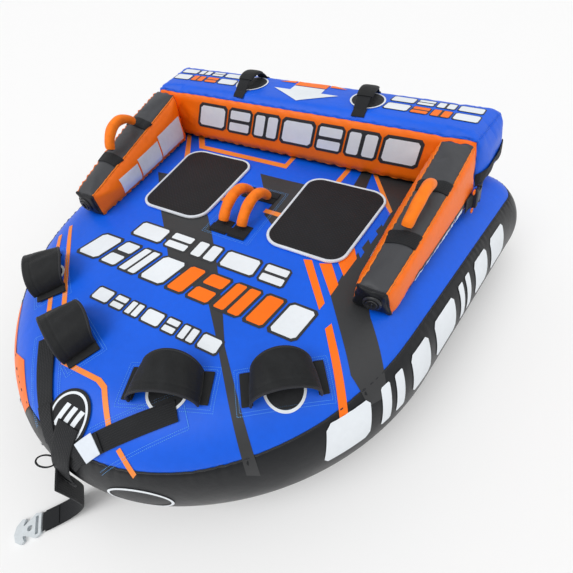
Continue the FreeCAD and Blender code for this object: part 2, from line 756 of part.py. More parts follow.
def build_leader():
    """Flat doubled webbing from the tow loop down to the ground, and the hook at its end."""
    path, tightest = flat_route(LEADER_ROUTE)
    half = dim.leader_thick / 2
    start = path.Edges[0]
    turn = start.tangentAt(start.FirstParameter)
    across = Vector(-turn.y, turn.x, 0) * half
    end = start.valueAt(start.FirstParameter)
    band = path.makePipe(Part.makeLine(end - across, end + across))
    wide = Vector(0, 0, dim.leader_width)
    band.translate(wide * -0.5)
    strips = [face.extrude(wide) for face in band.Faces]
    strap = strips[0].fuse(strips[1:]).removeSplitter()
    feature = doc.addObject("Part::Feature", "TowLeader")
    feature.Shape = strap
    keep("tow_leader", feature, leader_frame())
    whole = path.Length * dim.leader_thick * dim.leader_width
    print(f"leader {path.Length:.1f} mm, tightest arc {tightest:.0f} mm, "
          f"volume {strap.Volume:.0f} of {whole:.0f}")


def build_hook():
    """Moulded hook: a webbing slot, a lightening hole, a neck, and two swept-back barbs."""
    long, half = dim.hook_length, dim.hook_width / 2
    slot_half = dim.leader_width / 2 - dim.hook_slot_margin
    neck = 0.2 * dim.hook_width
    side = [
        (0, 0.82 * half), (0.2 * long, half), (0.38 * long, 0.72 * half), (0.62 * long, neck),
        (0.68 * long, neck), (0.6 * long, 0.86 * half), (0.72 * long, half), (0.93 * long, 0.6 * half),
    ]
    points = [(x, -y) for x, y in side] + [(long, 0)] + [(x, y) for x, y in reversed(side)]
    body = doc.addObject("PartDesign::Body", "Hook")
    sketch = add_sketch(body, "HookPlan", "XY_Plane")
    draw_polygon(sketch, points)
    pad = add_pad(body, sketch, Length="hook_thick")
    upright = edges_where(pad.Shape, lambda e: abs(e.tangentAt(e.FirstParameter).z) > 0.99)
    fillet = add_fillet(body, pad, upright, Radius="hook_thick / 7")
    holes = add_sketch(body, "HookHoles", "XY_Plane")
    bar = 0.1 * long
    far = bar + dim.hook_slot
    draw_polygon(holes, [(bar, -slot_half), (far, -slot_half), (far, slot_half), (bar, slot_half)])
    holes.addGeometry(Part.Circle(Vector(0.42 * long, 0, 0), Vector(0, 0, 1), 0.1 * long), False)
    pocket = body.newObject("PartDesign::Pocket", "Holes")
    pocket.Profile = holes
    pocket.Type = 1
    pocket.Midplane = True
    body.Tip = pocket
    doc.recompute()
    if pocket.Shape.Volume > fillet.Shape.Volume - 1:
        raise RuntimeError("the hook's holes cut nothing")
    heading = leader_heading()
    start = leader_frame().multVec(Vector(LEADER_ROUTE[-1][0] + dim.hook_gap, 0, 0))
    start.z = dim.layer_gap
    keep("tow_hook", body, frame_at(start, heading, Vector(0, 0, 1).cross(heading)))


# ---------------------------------------------------------------- buckles on the backrest's ends
def buckle_frame(side):
    """Placement at the joint between armrest and backrest: X rearwards, Z outwards."""
    height = dim.buckle_height
    lean = dim.back_end_lean / dim.back_height
    half = BACK_HALF - dim.back_end_taper - lean * (height - dim.back_lift)
    along = Vector(side * dim.back_end_taper, dim.back_depth, 0).normalize()
    upward = Vector(-side * dim.back_end_lean, 0, dim.back_height).normalize()
    out = (along.cross(upward) * side).normalize()
    origin = Vector(side * half, BACK_FRONT, DECK + height)
    return Placement(origin, Rotation(along, out.cross(along), out, "XYZ"))


def build_buckles():
    """Socket half and its strap on the armrest, latch half, and the strap on the backrest's end."""
    long, wide, thick, wall = dim.buckle_length, dim.buckle_width, dim.buckle_thick, dim.buckle_wall
    clear, head, webbing = dim.buckle_clear, dim.latch_head, dim.webbing_width
    low = dim.buckle_lift + dim.webbing_thick + dim.buckle_seat
    mouth = -dim.buckle_forward
    inner_wide, inner_thick = wide - 2 * wall, thick - 2 * wall
    reach = long - 5 * wall
    prong = inner_wide / 4
    for side_name, side in SIDES.items():
        place = buckle_frame(side)
        outer = box(f"SocketOut_{side_name}", (long, wide, thick), (mouth - long, -wide / 2, low),
                    Length="buckle_length", Width="buckle_width", Height="buckle_thick")
        hollow = box(f"SocketIn_{side_name}", (long, inner_wide, inner_thick),
                     (mouth - long + 3 * wall, -inner_wide / 2, low + wall),
                     Width="buckle_width - 2 * buckle_wall", Height="buckle_thick - 2 * buckle_wall")
        keep(f"buckle_socket_{side_name}", cut(f"Socket_{side_name}", outer, hollow), place)

        deep, prong_low = inner_thick - 2 * clear, low + wall + clear
        edge = inner_wide / 2 - clear
        pieces = [
            box(f"ProngLow_{side_name}", (reach, prong, deep), (mouth - reach, -edge, prong_low)),
            box(f"ProngHigh_{side_name}", (reach, prong, deep), (mouth - reach, edge - prong, prong_low)),
            box(f"LatchBridge_{side_name}", (1 + clear, 2 * edge, deep), (mouth - 0.5, -edge, prong_low)),
            box(f"LatchHead_{side_name}", (head, inner_wide, inner_thick),
                (mouth + clear, -inner_wide / 2, low + wall),
                Length="latch_head", Width="buckle_width - 2 * buckle_wall"),
        ]
        slot_wide = webbing + 2 * dim.latch_slot_margin
        slot = box(f"LatchSlot_{side_name}", (dim.latch_slot, slot_wide, 3 * thick),
                   (mouth + head / 2, -slot_wide / 2, low - thick), Length="latch_slot",
                   Width="webbing_width + 2 * latch_slot_margin", Height="3 * buckle_thick")
        latch = fuse(f"LatchBody_{side_name}", pieces)
        keep(f"buckle_latch_{side_name}", cut(f"Latch_{side_name}", latch, slot), place)

        straps = {
            "armrest": (mouth - long - dim.arm_strap_length / 2, dim.arm_strap_length),
            "backrest": (dim.back_strap_start, dim.back_depth - dim.back_round - dim.back_strap_start),
        }
        for owner, (start, length) in straps.items():
            strap = box(f"Strap_{owner}_{side_name}", (length, webbing, dim.webbing_thick),
                        (start, -webbing / 2, dim.buckle_lift), Width="webbing_width",
                        Height="webbing_thick")
            keep(f"{owner}_strap_{side_name}", group(f"StrapGroup_{owner}_{side_name}", [strap]), place)


# ---------------------------------------------------------------- strap handles on the backrest
def build_strap_handles():
    """Webbing arch front to rear over a round patch, on top of the backrest."""
    span, rise, thick = dim.strap_handle_span, dim.strap_handle_rise, dim.webbing_thick
    bend = (span ** 2 / 4 + rise ** 2) / (2 * rise)
    middle = (BACK_FRONT + BACK_REAR) / 2
    lift = dim.layer_gap + dim.webbing_thick
    patches = []
    for side_name, side in SIDES.items():
        low = BACK_TOP + lift + rise - bend
        lying = Rotation(Vector(0, 1, 0), 90)
        start = Vector(side * dim.strap_handle_x - dim.webbing_width / 2, middle, low)
        outer = cylinder(f"StrapOut_{side_name}", bend, dim.webbing_width, Placement(start, lying),
                         Height="webbing_width")
        inner = cylinder(f"StrapIn_{side_name}", bend - thick, dim.webbing_width, Placement(start, lying),
                         Height="webbing_width")
        ring = cut(f"StrapRing_{side_name}", outer, inner)
        above = box(f"StrapAbove_{side_name}", (2 * span, 2 * span, span),
                    (side * dim.strap_handle_x - span, middle - span, BACK_TOP + lift))
        keep(f"backrest_handle_{side_name}", common(f"StrapHandle_{side_name}", ring, above))
        round_patch = cylinder(f"BackPatch_{side_name}", 0.3 * span, dim.webbing_thick,
                               Placement(Vector(side * dim.strap_handle_x, middle, BACK_TOP + dim.layer_gap),
                                         Rotation()), Height="webbing_thick")
        patches.append(round_patch)
    keep("backrest_patches", group("BackPatches", patches))


# ---------------------------------------------------------------- valves and zipper
def build_valve(name, place):
    """Flange with a blind seat, and the plug that pulls out of it along local Z."""
    flange = cylinder(f"Flange_{name}", dim.valve_radius, dim.valve_height, Placement(),
                      Radius="valve_radius", Height="valve_height")
    seat = cylinder(f"SeatHole_{name}", dim.plug_radius, dim.valve_height,
                    Placement(Vector(0, 0, dim.valve_floor), Rotation()),
                    Radius="plug_radius", Height="valve_height")
    keep(f"{name}_valve", cut(f"Valve_{name}", flange, seat), place)
    stem = cylinder(f"PlugStem_{name}", dim.plug_radius - dim.plug_clear, dim.valve_height,
                    Placement(Vector(0, 0, dim.valve_floor + dim.plug_clear), Rotation()),
                    Radius="plug_radius - plug_clear", Height="valve_height")
    thick, wide = dim.plug_tab, 1.4 * dim.plug_radius
    top = dim.valve_floor + dim.plug_clear + dim.valve_height
    tab = box(f"PlugTab_{name}", (thick, wide, thick), (-thick / 2, -wide / 2, top - thick / 4),
              Length="plug_tab", Width="1.4 * plug_radius", Height="plug_tab")
    keep(f"{name}_plug", fuse(f"Plug_{name}", [stem, tab]), place)


def build_valves():
    """A valve on each armrest's front end, on the backrest's rear, and low on the hull's rear."""
    clear, tilt = dim.valve_gap, math.radians(dim.hull_valve_angle)
    for side_name, side in SIDES.items():
        x = side * (ARM_FRONT_INNER + dim.arm_front_width / 2)
        z = ARM_BASE + dim.arm_front_height / 2
        build_valve(f"armrest_{side_name}",
                    frame_at((x, ARM_FRONT - clear, z), (1, 0, 0), (0, 0, 1)))
    build_valve("backrest", frame_at((0, BACK_REAR + clear, BACK_BASE + dim.back_height / 2),
                                     (-1, 0, 0), (0, 0, 1)))
    hull_place = hull_edge_frame(-dim.hull_valve_angle, REAR_Y - dim.hull_round, 1, clear)
    hull_place.Base.z = dim.hull_round - (dim.hull_round + clear) * math.sin(tilt)
    build_valve("hull", hull_place)


def build_zipper():
    """Zip tape along the straight rear edge, above its middle, and the slider on it."""
    place = hull_edge_frame(dim.zip_angle, REAR_Y - dim.hull_round, 1, dim.zip_gap)
    half = dim.zip_length / 2
    tape = box("ZipTape", (dim.zip_length, dim.zip_width, dim.zip_thick), (-half, -dim.zip_width / 2, 0),
               Length="zip_length", Width="zip_width", Height="zip_thick")
    keep("zipper_tape", group("ZipTapeGroup", [tape]), place)
    low = dim.zip_thick + dim.layer_gap
    slider = box("ZipSlider", (dim.slider_length, dim.slider_width, dim.slider_thick),
                 (-half + dim.slider_start, -dim.slider_width / 2, low),
                 Length="slider_length", Width="slider_width", Height="slider_thick")
    pull = box("ZipPull", (dim.pull_length, dim.pull_width, dim.pull_thick),
               (-half + dim.slider_start + dim.slider_length / 2, -dim.pull_width / 2,
                low + dim.slider_thick - dim.pull_thick),
               Length="pull_length", Width="pull_width", Height="pull_thick")
    keep("zipper_slider", fuse("ZipSliderGroup", [slider, pull]), place)


# ---------------------------------------------------------------- make, check and write
def build_all():
    build_hull()
    layer = build_layer()
    build_cushion("backrest_cover", "backrest_bladder", backrest_form)
    for side_name, side in SIDES.items():
        build_cushion(f"armrest_cover_{side_name}", f"armrest_bladder_{side_name}",
                      lambda name, inset, side=side: armrest_form(name, inset, side))
    build_arm_caps()
    build_seats()
    build_guarded_handles(layer)
    build_centre_handle()
    build_side_grips()
    build_harness(layer)
    build_badge(layer)
    build_leader()
    build_hook()
    build_buckles()
    build_strap_handles()
    build_valves()
    build_zipper()
    doc.recompute()


def check_all():
    """Every object is up to date, and every sub-part has a sound solid."""
    broken = [o.Name for o in doc.Objects if "Invalid" in o.State or "Error" in o.State]
    for label, obj in nodes.items():
        shape = obj.Shape
        if shape.isNull() or not shape.isValid() or not shape.Solids or shape.Volume <= 0:
            broken.append(label)
    if broken:
        raise RuntimeError("broken: " + ", ".join(broken))


def write_all():
    os.makedirs("parts", exist_ok=True)
    for label, obj in nodes.items():
        obj.Shape.exportStep(os.path.join("parts", label + ".step"))
    print(len(nodes), "sub-parts written")


build_all()
check_all()
write_all()
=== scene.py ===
import json
import math

import bmesh
import bpy
import numpy as np
from mathutils import Matrix, Vector

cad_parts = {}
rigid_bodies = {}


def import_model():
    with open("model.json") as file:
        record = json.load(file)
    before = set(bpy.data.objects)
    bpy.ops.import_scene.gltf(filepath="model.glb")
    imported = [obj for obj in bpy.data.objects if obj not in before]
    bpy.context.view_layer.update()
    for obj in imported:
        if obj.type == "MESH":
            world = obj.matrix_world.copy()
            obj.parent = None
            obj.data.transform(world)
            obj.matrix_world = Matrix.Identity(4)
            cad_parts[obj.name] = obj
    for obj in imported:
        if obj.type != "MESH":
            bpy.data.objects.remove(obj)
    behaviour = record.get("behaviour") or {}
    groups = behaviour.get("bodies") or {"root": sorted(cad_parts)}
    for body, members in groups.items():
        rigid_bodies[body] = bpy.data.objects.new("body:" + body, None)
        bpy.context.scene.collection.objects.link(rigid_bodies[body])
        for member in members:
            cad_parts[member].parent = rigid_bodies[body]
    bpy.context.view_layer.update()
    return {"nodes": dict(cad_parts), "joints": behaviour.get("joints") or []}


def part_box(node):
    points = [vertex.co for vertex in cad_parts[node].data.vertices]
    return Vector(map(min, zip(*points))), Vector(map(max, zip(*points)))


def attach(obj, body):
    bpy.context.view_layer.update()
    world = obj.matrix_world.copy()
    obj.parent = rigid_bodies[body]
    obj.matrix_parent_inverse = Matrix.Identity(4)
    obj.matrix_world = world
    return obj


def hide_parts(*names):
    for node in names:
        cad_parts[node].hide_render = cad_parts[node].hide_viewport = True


# Towable tube: sewn cover panels with printed shapes, simulated cushions, seat pads, guarded and
# arched handles, webbing, buckles, valves, zip, and the tow leader with its hook.
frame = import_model()

# ---------------------------------------------------------------- sizes, in metres
HALF_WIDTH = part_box("cover_side")[1].x
HALF_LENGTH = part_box("cover_side")[1].y
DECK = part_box("cover_top")[1].z
MIDDLE = DECK / 2
ROUND = 0.178
CORNER = 0.190
SIDE_ANGLE = math.radians(15.6)
SIDE_STRAIGHT = 0.700
NOSE_SHARE = 0.35
BASE_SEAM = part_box("cover_side")[0].z
# the sewn seam's height above the hull's middle, along the rim, from the nose round each side
SEAM_RUN = (0.0, 0.30, 0.40, 0.60, 0.70, 0.90, 9.0)
SEAM_HEIGHT = (0.131, 0.131, 0.138, 0.155, 0.166, 0.175, 0.175)
BASE_ANGLE = math.asin((BASE_SEAM - MIDDLE) / MIDDLE)
CROWN = 0.003
WEBBING = 0.044
SIDES = {"right": 1, "left": -1}
SETTLE_FRAMES = 18
PRESSURE = 4.0
CUSHION_FILL, PAD_FILL = 0.95, 0.9

# how far each printed or sewn layer stands off the cover, lowest first
LAYER = {"grey": 0.0006, "blue": 0.0009, "orange": 0.0009, "pale": 0.0009, "label": 0.0009,
         "thread": 0.0010, "edge": 0.0012, "white": 0.0015}
UP = (0, 0, 1.0)


# ---------------------------------------------------------------- mesh tools
def quads(rows, cols, wrap_rows=False, wrap_cols=False):
    """Corner numbers of every square of a rows by cols grid, joined round where it wraps."""
    r = np.arange(rows if wrap_rows else rows - 1)
    c = np.arange(cols if wrap_cols else cols - 1)
    r, c = np.meshgrid(r, c, indexing="ij")
    r2, c2 = (r + 1) % rows, (c + 1) % cols
    return np.stack([r * cols + c, r * cols + c2, r2 * cols + c2, r2 * cols + c], -1).reshape(-1, 4)


class Build:
    """Collects grids of points and their squares into one mesh."""

    def __init__(self):
        self.points, self.faces, self.slots, self.uvs, self.count = [], [], [], [], 0

    def add(self, points, faces, slot=0, uv=None):
        points = np.asarray(points, float).reshape(-1, 3)
        faces = np.asarray(faces, int)
        self.points.append(points)
        self.faces.append(faces + self.count)
        self.slots.append(np.full(len(faces), slot))
        self.uvs.append(np.zeros((len(points), 2)) if uv is None else np.asarray(uv, float).reshape(-1, 2))
        self.count += len(points)

    def grid(self, points, wrap_rows=False, wrap_cols=False, flip=False, slot=0, uv=None):
        """Points as rows by columns; a square's normal is column direction cross row direction."""
        rows, cols = points.shape[:2]
        faces = quads(rows, cols, wrap_rows, wrap_cols)
        if flip:
            faces = faces[:, ::-1]
        self.add(points, faces, slot, uv)

    def cap(self, ring, flip=False, slot=0):
        """Closes a ring of points with a fan round its middle."""
        n = len(ring)
        points = np.concatenate([ring, ring.mean(0)[None]])
        around = np.arange(n)
        after = (around + 1) % n
        faces = np.stack([around, after, np.full(n, n)], -1)
        if flip:
            faces = faces[:, ::-1]
        self.add(points, faces, slot)

    def mesh(self, name, materials, smooth=True, weld=0.0):
        mesh = bpy.data.meshes.new(name)
        points = np.concatenate(self.points)
        faces = [face for block in self.faces for face in block.tolist()]
        mesh.from_pydata(points.tolist(), [], faces)
        mesh.polygons.foreach_set("material_index", np.concatenate(self.slots).astype(np.int32))
        mesh.polygons.foreach_set("use_smooth", np.full(len(faces), smooth))
        layer = mesh.uv_layers.new(name="UVMap")
        corner = np.zeros(len(mesh.loops), np.int32)
        mesh.loops.foreach_get("vertex_index", corner)
        layer.data.foreach_set("uv", np.concatenate(self.uvs)[corner].astype(np.float32).ravel())
        for material in materials if isinstance(materials, (list, tuple)) else [materials]:
            mesh.materials.append(material)
        obj = place_object(name, mesh)
        if weld:
            merge(obj, weld)
        return obj


def place_object(name, data):
    obj = bpy.data.objects.new(name, data)
    bpy.context.scene.collection.objects.link(obj)
    return obj


def merge(obj, distance):
    """Joins points that lie together, so that seams and poles are closed."""
    work = bmesh.new()
    work.from_mesh(obj.data)
    bmesh.ops.remove_doubles(work, verts=work.verts, dist=distance)
    bmesh.ops.dissolve_degenerate(work, edges=work.edges, dist=1e-7)
    work.to_mesh(obj.data)
    work.free()


def fit(obj, slot, body, *nodes, fill=None):
    """Attaches a piece to the body that it moves with and hides the CAD nodes that it stands for. slot, its
    finish, and fill, how full a cushion or pad is, are not used."""
    if nodes:
        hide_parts(*nodes)
    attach(obj, body)


def smoothstep(low, high, value):
    t = np.clip((value - low) / (high - low), 0, 1)
    return t * t * (3 - 2 * t)


def unit(vectors):
    return vectors / np.maximum(np.linalg.norm(vectors, axis=-1, keepdims=True), 1e-12)


def run_of(points):
    """Distance along a line of points to each of them."""
    return np.concatenate([[0], np.cumsum(np.linalg.norm(np.diff(points, axis=0), axis=1))])


def read(where, run, table):
    """Rows of a table at places along its run."""
    return np.stack([np.interp(where, run, column) for column in np.transpose(table)], -1)


def same(vector, count):
    return np.repeat([np.asarray(vector, float)], count, 0)


def evenly(points, step, closed=False):
    """The line through the points again, with points a step apart along it, corners rounded by that."""
    points = np.asarray(points, float)
    if closed:
        points = np.concatenate([points, points[:1]])
    run = run_of(points)
    count = max(2, int(round(run[-1] / step)) + 1)
    where = np.linspace(0, run[-1], count)
    if closed:
        where = where[:-1]
    return read(where, run, points)


def sweep(path, across, out, width, thick, power=4.0, sides=16, closed=False):
    """A flat or round section carried along a path.

    The section is a superellipse: across times width/2 times cos to the power 2/power, and out
    times thick/2 times sin to the power 2/power. across and out are unit vectors along the path.
    Returns the points and their place along and round, both in metres.
    """
    turn = np.linspace(0, 2 * math.pi, sides, endpoint=False)
    flat = np.sign(np.cos(turn)) * np.abs(np.cos(turn)) ** (2 / power)
    tall = np.sign(np.sin(turn)) * np.abs(np.sin(turn)) ** (2 / power)
    width = np.broadcast_to(width, (len(path),))[:, None, None]
    thick = np.broadcast_to(thick, (len(path),))[:, None, None]
    points = (path[:, None] + across[:, None] * flat[None, :, None] * width / 2
              + out[:, None] * tall[None, :, None] * thick / 2)
    run = run_of(path)
    along = np.repeat(run[:, None], sides, 1)
    around = flat[None] * width[:, :, 0] / 2
    return points, np.stack([along, np.broadcast_to(around, along.shape)], -1)


def add_strap(build, path, normals, width, thick, slot=0, sides=16, power=5.0, closed=False):
    """Webbing or piping along a path; normals point away from what it lies on."""
    path = np.asarray(path, float)
    if closed:
        along = unit(np.roll(path, -1, 0) - np.roll(path, 1, 0))
    else:
        along = unit(np.gradient(path, axis=0))
    normals = unit(normals - along * (normals * along).sum(-1, keepdims=True))
    across = np.cross(along, normals)
    points, uv = sweep(path, across, normals, width, thick, power, sides)
    build.grid(points, wrap_rows=closed, wrap_cols=True, slot=slot, uv=uv)
    if not closed:
        build.cap(points[0], flip=False, slot=slot)
        build.cap(points[-1], flip=True, slot=slot)


def add_stitches(build, path, normals, pitch=0.0042, length=0.0030, width=0.0010, closed=False, slot=0):
    """A row of threads: each a low lozenge that lies along the path, a pitch after the one before."""
    path = np.asarray(path, float)
    if closed:
        path, normals = np.concatenate([path, path[:1]]), np.concatenate([normals, normals[:1]])
    run = run_of(path)
    count = max(2, int(run[-1] / pitch))
    where = (np.arange(count) + 0.5) * run[-1] / count
    place = read(where, run, path)
    normal = unit(read(where, run, normals))
    along = unit(read(where + 0.001, run, path) - read(where - 0.001, run, path))
    across = np.cross(along, normal)
    shape = np.array([[-1, 0, 0], [-0.55, 1, 0.1], [0.55, 1, 0.1], [1, 0, 0], [0.55, -1, 0.1],
                      [-0.55, -1, 0.1], [-0.5, 0, 1], [0.5, 0, 1]])
    points = (place[:, None] + along[:, None] * shape[None, :, :1] * length / 2
              + across[:, None] * shape[None, :, 1:2] * width / 2
              + normal[:, None] * shape[None, :, 2:] * width * 0.5)
    quad = np.array([[1, 6, 7, 2], [4, 7, 6, 5]])
    tips = np.array([[0, 6, 1], [0, 5, 6], [3, 2, 7], [3, 7, 4]])
    offset = (np.arange(count) * 8)[:, None, None]
    start = build.count
    build.add(points, (quad[None, :, ::-1] + offset).reshape(-1, 4), slot)
    build.faces.append((tips[None, :, ::-1] + offset).reshape(-1, 3) + start)
    build.slots.append(np.full(count * 4, slot))


def add_lathe(build, place, profile, slot=0, sides=48, ripple=0, depth=0.0):
    """A profile of (radius, height) turned round a frame's Z, with ripple ribs of that depth."""
    turn = np.linspace(0, 2 * math.pi, sides, endpoint=False)
    profile = np.asarray(profile, float)
    radius = profile[:, 0][:, None] * (1 + (depth * np.cos(ripple * turn) if ripple else 0 * turn)[None])
    local = np.stack([radius * np.cos(turn), radius * np.sin(turn),
                      np.repeat(profile[:, 1][:, None], sides, 1)], -1)
    build.grid(to_world(place, local), wrap_cols=True, slot=slot,
               uv=np.stack([radius, np.repeat(profile[:, 1][:, None], sides, 1)], -1))


def add_soft_box(build, place, low, high, rounding, slot=0, cells=6):
    """A box whose edges and corners are round: each point of a cube's skin is pushed out of an inner box."""
    low, high = np.array(low, float), np.array(high, float)
    _, lattice, panels = skin(cells, cells, cells)
    share = 0.5 - 0.5 * np.cos(math.pi * lattice)
    points = low + share * (high - low)
    core = np.clip(points, low + rounding, high - rounding)
    points = core + rounding * unit(points - core)
    faces = np.concatenate([grid_faces(grid, flip) for grid, flip in panels])
    build.add(to_world(place, points), faces, slot, points[:, :2])


def add_soft_boxes(build, place, boxes):
    for x0, x1, y0, y1, z0, z1, rounding in boxes:
        add_soft_box(build, place, (x0, y0, z0), (x1, y1, z1), rounding)


def grid_faces(grid, flip):
    a, b, c, d = grid[:-1, :-1], grid[1:, :-1], grid[1:, 1:], grid[:-1, 1:]
    faces = np.stack([a, b, c, d], -1).reshape(-1, 4)
    return faces[:, ::-1] if flip else faces


def skin(nx, ny, nz):
    """The outer points of a block of cells: their numbers, their places from 0 to 1, and six panels.

    Each panel is a grid of point numbers and whether its squares have to be turned to face out.
    """
    i, j, k = np.meshgrid(np.arange(nx + 1), np.arange(ny + 1), np.arange(nz + 1), indexing="ij")
    outer = (i == 0) | (i == nx) | (j == 0) | (j == ny) | (k == 0) | (k == nz)
    ids = -np.ones(outer.shape, int)
    ids[outer] = np.arange(outer.sum())
    lattice = np.stack([i[outer] / nx, j[outer] / ny, k[outer] / nz], -1)
    panels = [(ids[0], True), (ids[-1], False), (ids[:, 0], False), (ids[:, -1], True),
              (ids[:, :, 0], True), (ids[:, :, -1], False)]
    return ids, lattice, panels


def to_world(place, local):
    """Local points through a frame given as (origin, x axis, y axis, z axis)."""
    origin, x, y, z = (np.asarray(v, float) for v in place)
    return origin + local[..., :1] * x + local[..., 1:2] * y + local[..., 2:] * z


def turned(place, directions):
    """Local directions through a frame."""
    return to_world((np.zeros(3), *place[1:]), directions)


def axes(origin, x, y):
    """A frame from an origin and two directions; its Z is their cross product."""
    x = unit(np.asarray(x, float))
    z = unit(np.cross(x, np.asarray(y, float)))
    return np.asarray(origin, float), x, np.cross(z, x), z


# ---------------------------------------------------------------- materials
class Look:
    """A material while it is made: its nodes, its main shader, and the bump laid down last."""

    def __init__(self, name, roughness, metallic=0.0, sheen=0.0, coat=0.0, specular=0.5):
        self.material = bpy.data.materials.new(name)
        self.material.use_nodes = True
        self.nodes, self.links = self.material.node_tree.nodes, self.material.node_tree.links
        self.inputs = self.nodes["Principled BSDF"].inputs
        fixed = {"Roughness": roughness, "Metallic": metallic, "Specular IOR Level": specular}
        if sheen:
            fixed.update({"Sheen Weight": sheen, "Sheen Roughness": 0.4})
        if coat:
            fixed.update({"Coat Weight": coat, "Coat Roughness": 0.25})
        for socket, value in fixed.items():
            self.inputs[socket].default_value = value
        self.place = self.nodes.new("ShaderNodeTexCoord").outputs["Object"]
        self.below = None

    def node(self, kind, place=None, **values):
        """A new node with its sockets' values set and its Vector joined."""
        node = self.nodes.new("ShaderNode" + kind)
        for socket, value in values.items():
            node.inputs[socket].default_value = value
        if place is not None:
            self.links.new(place, node.inputs["Vector"])
        return node

    def noise(self, scale, detail=4.0, roughness=0.5):
        node = self.node("TexNoise", self.place, Scale=scale, Detail=detail, Roughness=roughness)
        return node.outputs["Fac"]

    def wave(self, period, direction="X", place=None):
        """Ridges across one axis, a period apart."""
        scale = 2 * math.pi / (20 * period)
        node = self.node("TexWave", self.place if place is None else place, Scale=scale, Distortion=0.0)
        node.bands_direction = direction
        return node.outputs["Fac"]

    def sum(self, operation, first, second):
        node = self.nodes.new("ShaderNodeMath")
        node.operation = operation
        for socket, value in zip(node.inputs, (first, second)):
            if isinstance(value, (int, float)):
                socket.default_value = value
            else:
                self.links.new(value, socket)
        return node.outputs[0]

    def mixed(self, first, share, second, other_share):
        return self.sum("ADD", self.sum("MULTIPLY", first, share), self.sum("MULTIPLY", second, other_share))

    def ramp(self, factor, stops, socket):
        node = self.nodes.new("ShaderNodeValToRGB")
        while len(node.color_ramp.elements) < len(stops):
            node.color_ramp.elements.new(0.5)
        for element, (place, colour) in zip(node.color_ramp.elements, stops):
            element.position = place
            element.color = (*colour, 1.0)
        self.links.new(factor, node.inputs[0])
        self.links.new(node.outputs[0], self.inputs[socket])

    def colour(self, factor, colour, *stops):
        """Colour along a pattern: at each stop the given colour times that stop's brightness."""
        tints = [(place, tuple(min(1.0, part * times) for part in colour)) for place, times in stops]
        self.ramp(factor, tints, "Base Color")

    def rough(self, factor, *stops):
        self.ramp(factor, [(place, (value,) * 3) for place, value in stops], "Roughness")

    def bump(self, height, strength, distance):
        """A bump over the one before it."""
        node = self.node("Bump", Strength=strength, Distance=distance)
        self.links.new(height, node.inputs["Height"])
        if self.below is not None:
            self.links.new(self.below, node.inputs["Normal"])
        self.below = node.outputs[0]
        self.links.new(self.below, self.inputs["Normal"])


def coated_fabric(name, colour, roughness=0.46, spread=0.10, coat=0.05, specular=0.32):
    """Coated nylon: a fine weave, soft wrinkles, colour that drifts a little, and dust in patches."""
    look = Look(name, roughness, coat=coat, specular=specular)
    weave = 0.0016
    drift = look.noise(5.0, 5.0)
    both = look.mixed(drift, 0.7, look.noise(60.0, 3.0), 0.3)
    look.colour(both, colour, (0.30, 1 - spread), (0.52, 1), (0.75, 1 + spread))
    look.rough(drift, (0.3, roughness - 0.07), (0.7, roughness + 0.08))
    upper = look.sum("MAXIMUM", look.wave(weave, "Y"), look.wave(weave, "Z"))
    look.bump(look.sum("MAXIMUM", look.wave(weave, "X"), upper), 0.18, 0.0004)
    look.bump(look.noise(16.0, 6.0, 0.55), 0.45, 0.004)
    return look.material


def webbing_material(name, colour, roughness=0.72, period=0.0028):
    """Woven strap: ribs across its length and a herringbone drift along it, from its own UV map; its colour
    has a painted highlight on the raised weave and painted shade between the threads, over a random tone.
    """
    look = Look(name, roughness, sheen=0.06, specular=0.28)
    uv = look.nodes.new("ShaderNodeUVMap")
    uv.uv_map = "UVMap"
    strap = uv.outputs[0]
    ribs, rows = look.wave(period, "X", strap), look.wave(period * 1.6, "Y", strap)
    slant = look.wave(period * 1.3, "DIAGONAL", strap)
    cloth = look.sum("MULTIPLY", look.sum("ADD", ribs, slant), rows)
    # colour: painted highlight on the raised weave and painted shade between its threads, mixed with a random
    # tone
    shade = look.mixed(cloth, 0.35, look.noise(30.0, 5.0), 0.5)
    look.colour(shade, colour, (0.15, 0.65), (0.45, 1), (0.8, 1.6))
    look.bump(cloth, 0.5, 0.0008)
    return look.material


def foam_material(name, colour):
    """Closed-cell foam: tiny cells, a slight mottling, and soft scuffs."""
    look = Look(name, 0.66, sheen=0.12, specular=0.35)
    look.colour(look.noise(40.0, 6.0), colour, (0.3, 0.82), (0.55, 1), (0.8, 1.12))
    look.bump(look.node("TexVoronoi", look.place, Scale=700.0).outputs["Distance"], 0.25, 0.0006)
    look.bump(look.noise(55.0, 3.0), 0.3, 0.0015)
    return look.material


def moulded_material(name, colour, roughness=0.38):
    """Injection-moulded plastic: a fine spark-eroded grain, with handling marks in its gloss."""
    look = Look(name, roughness)
    marks = look.noise(90.0, 6.0, 0.6)
    look.colour(marks, colour, (0.3, 0.85), (0.6, 1), (0.85, 1.15))
    look.rough(marks, (0.3, roughness - 0.08), (0.7, roughness + 0.12))
    look.bump(look.noise(900.0, 2.0), 0.15, 0.0003)
    return look.material


def pad_material(name, colour):
    """Embossed foam sheet: small raised diamonds, with a painted highlight on their tops and painted shade
    between them, over a random tone.
    """
    look = Look(name, 0.62, sheen=0.03, specular=0.3)
    turn = look.node("Mapping", look.place, Rotation=(0, 0, math.radians(45))).outputs[0]
    diamonds = look.sum("MULTIPLY", look.wave(0.009, "X", turn), look.wave(0.009, "Y", turn))
    # colour: painted highlight on the raised diamonds and painted shade between them, mixed with a random
    # tone
    shade = look.mixed(diamonds, 0.45, look.noise(14.0, 6.0), 0.5)
    look.colour(shade, colour, (0.15, 0.7), (0.45, 1), (0.85, 1.7))
    look.bump(diamonds, 0.45, 0.0012)
    look.bump(look.noise(500.0, 2.0), 0.2, 0.0003)
    return look.material


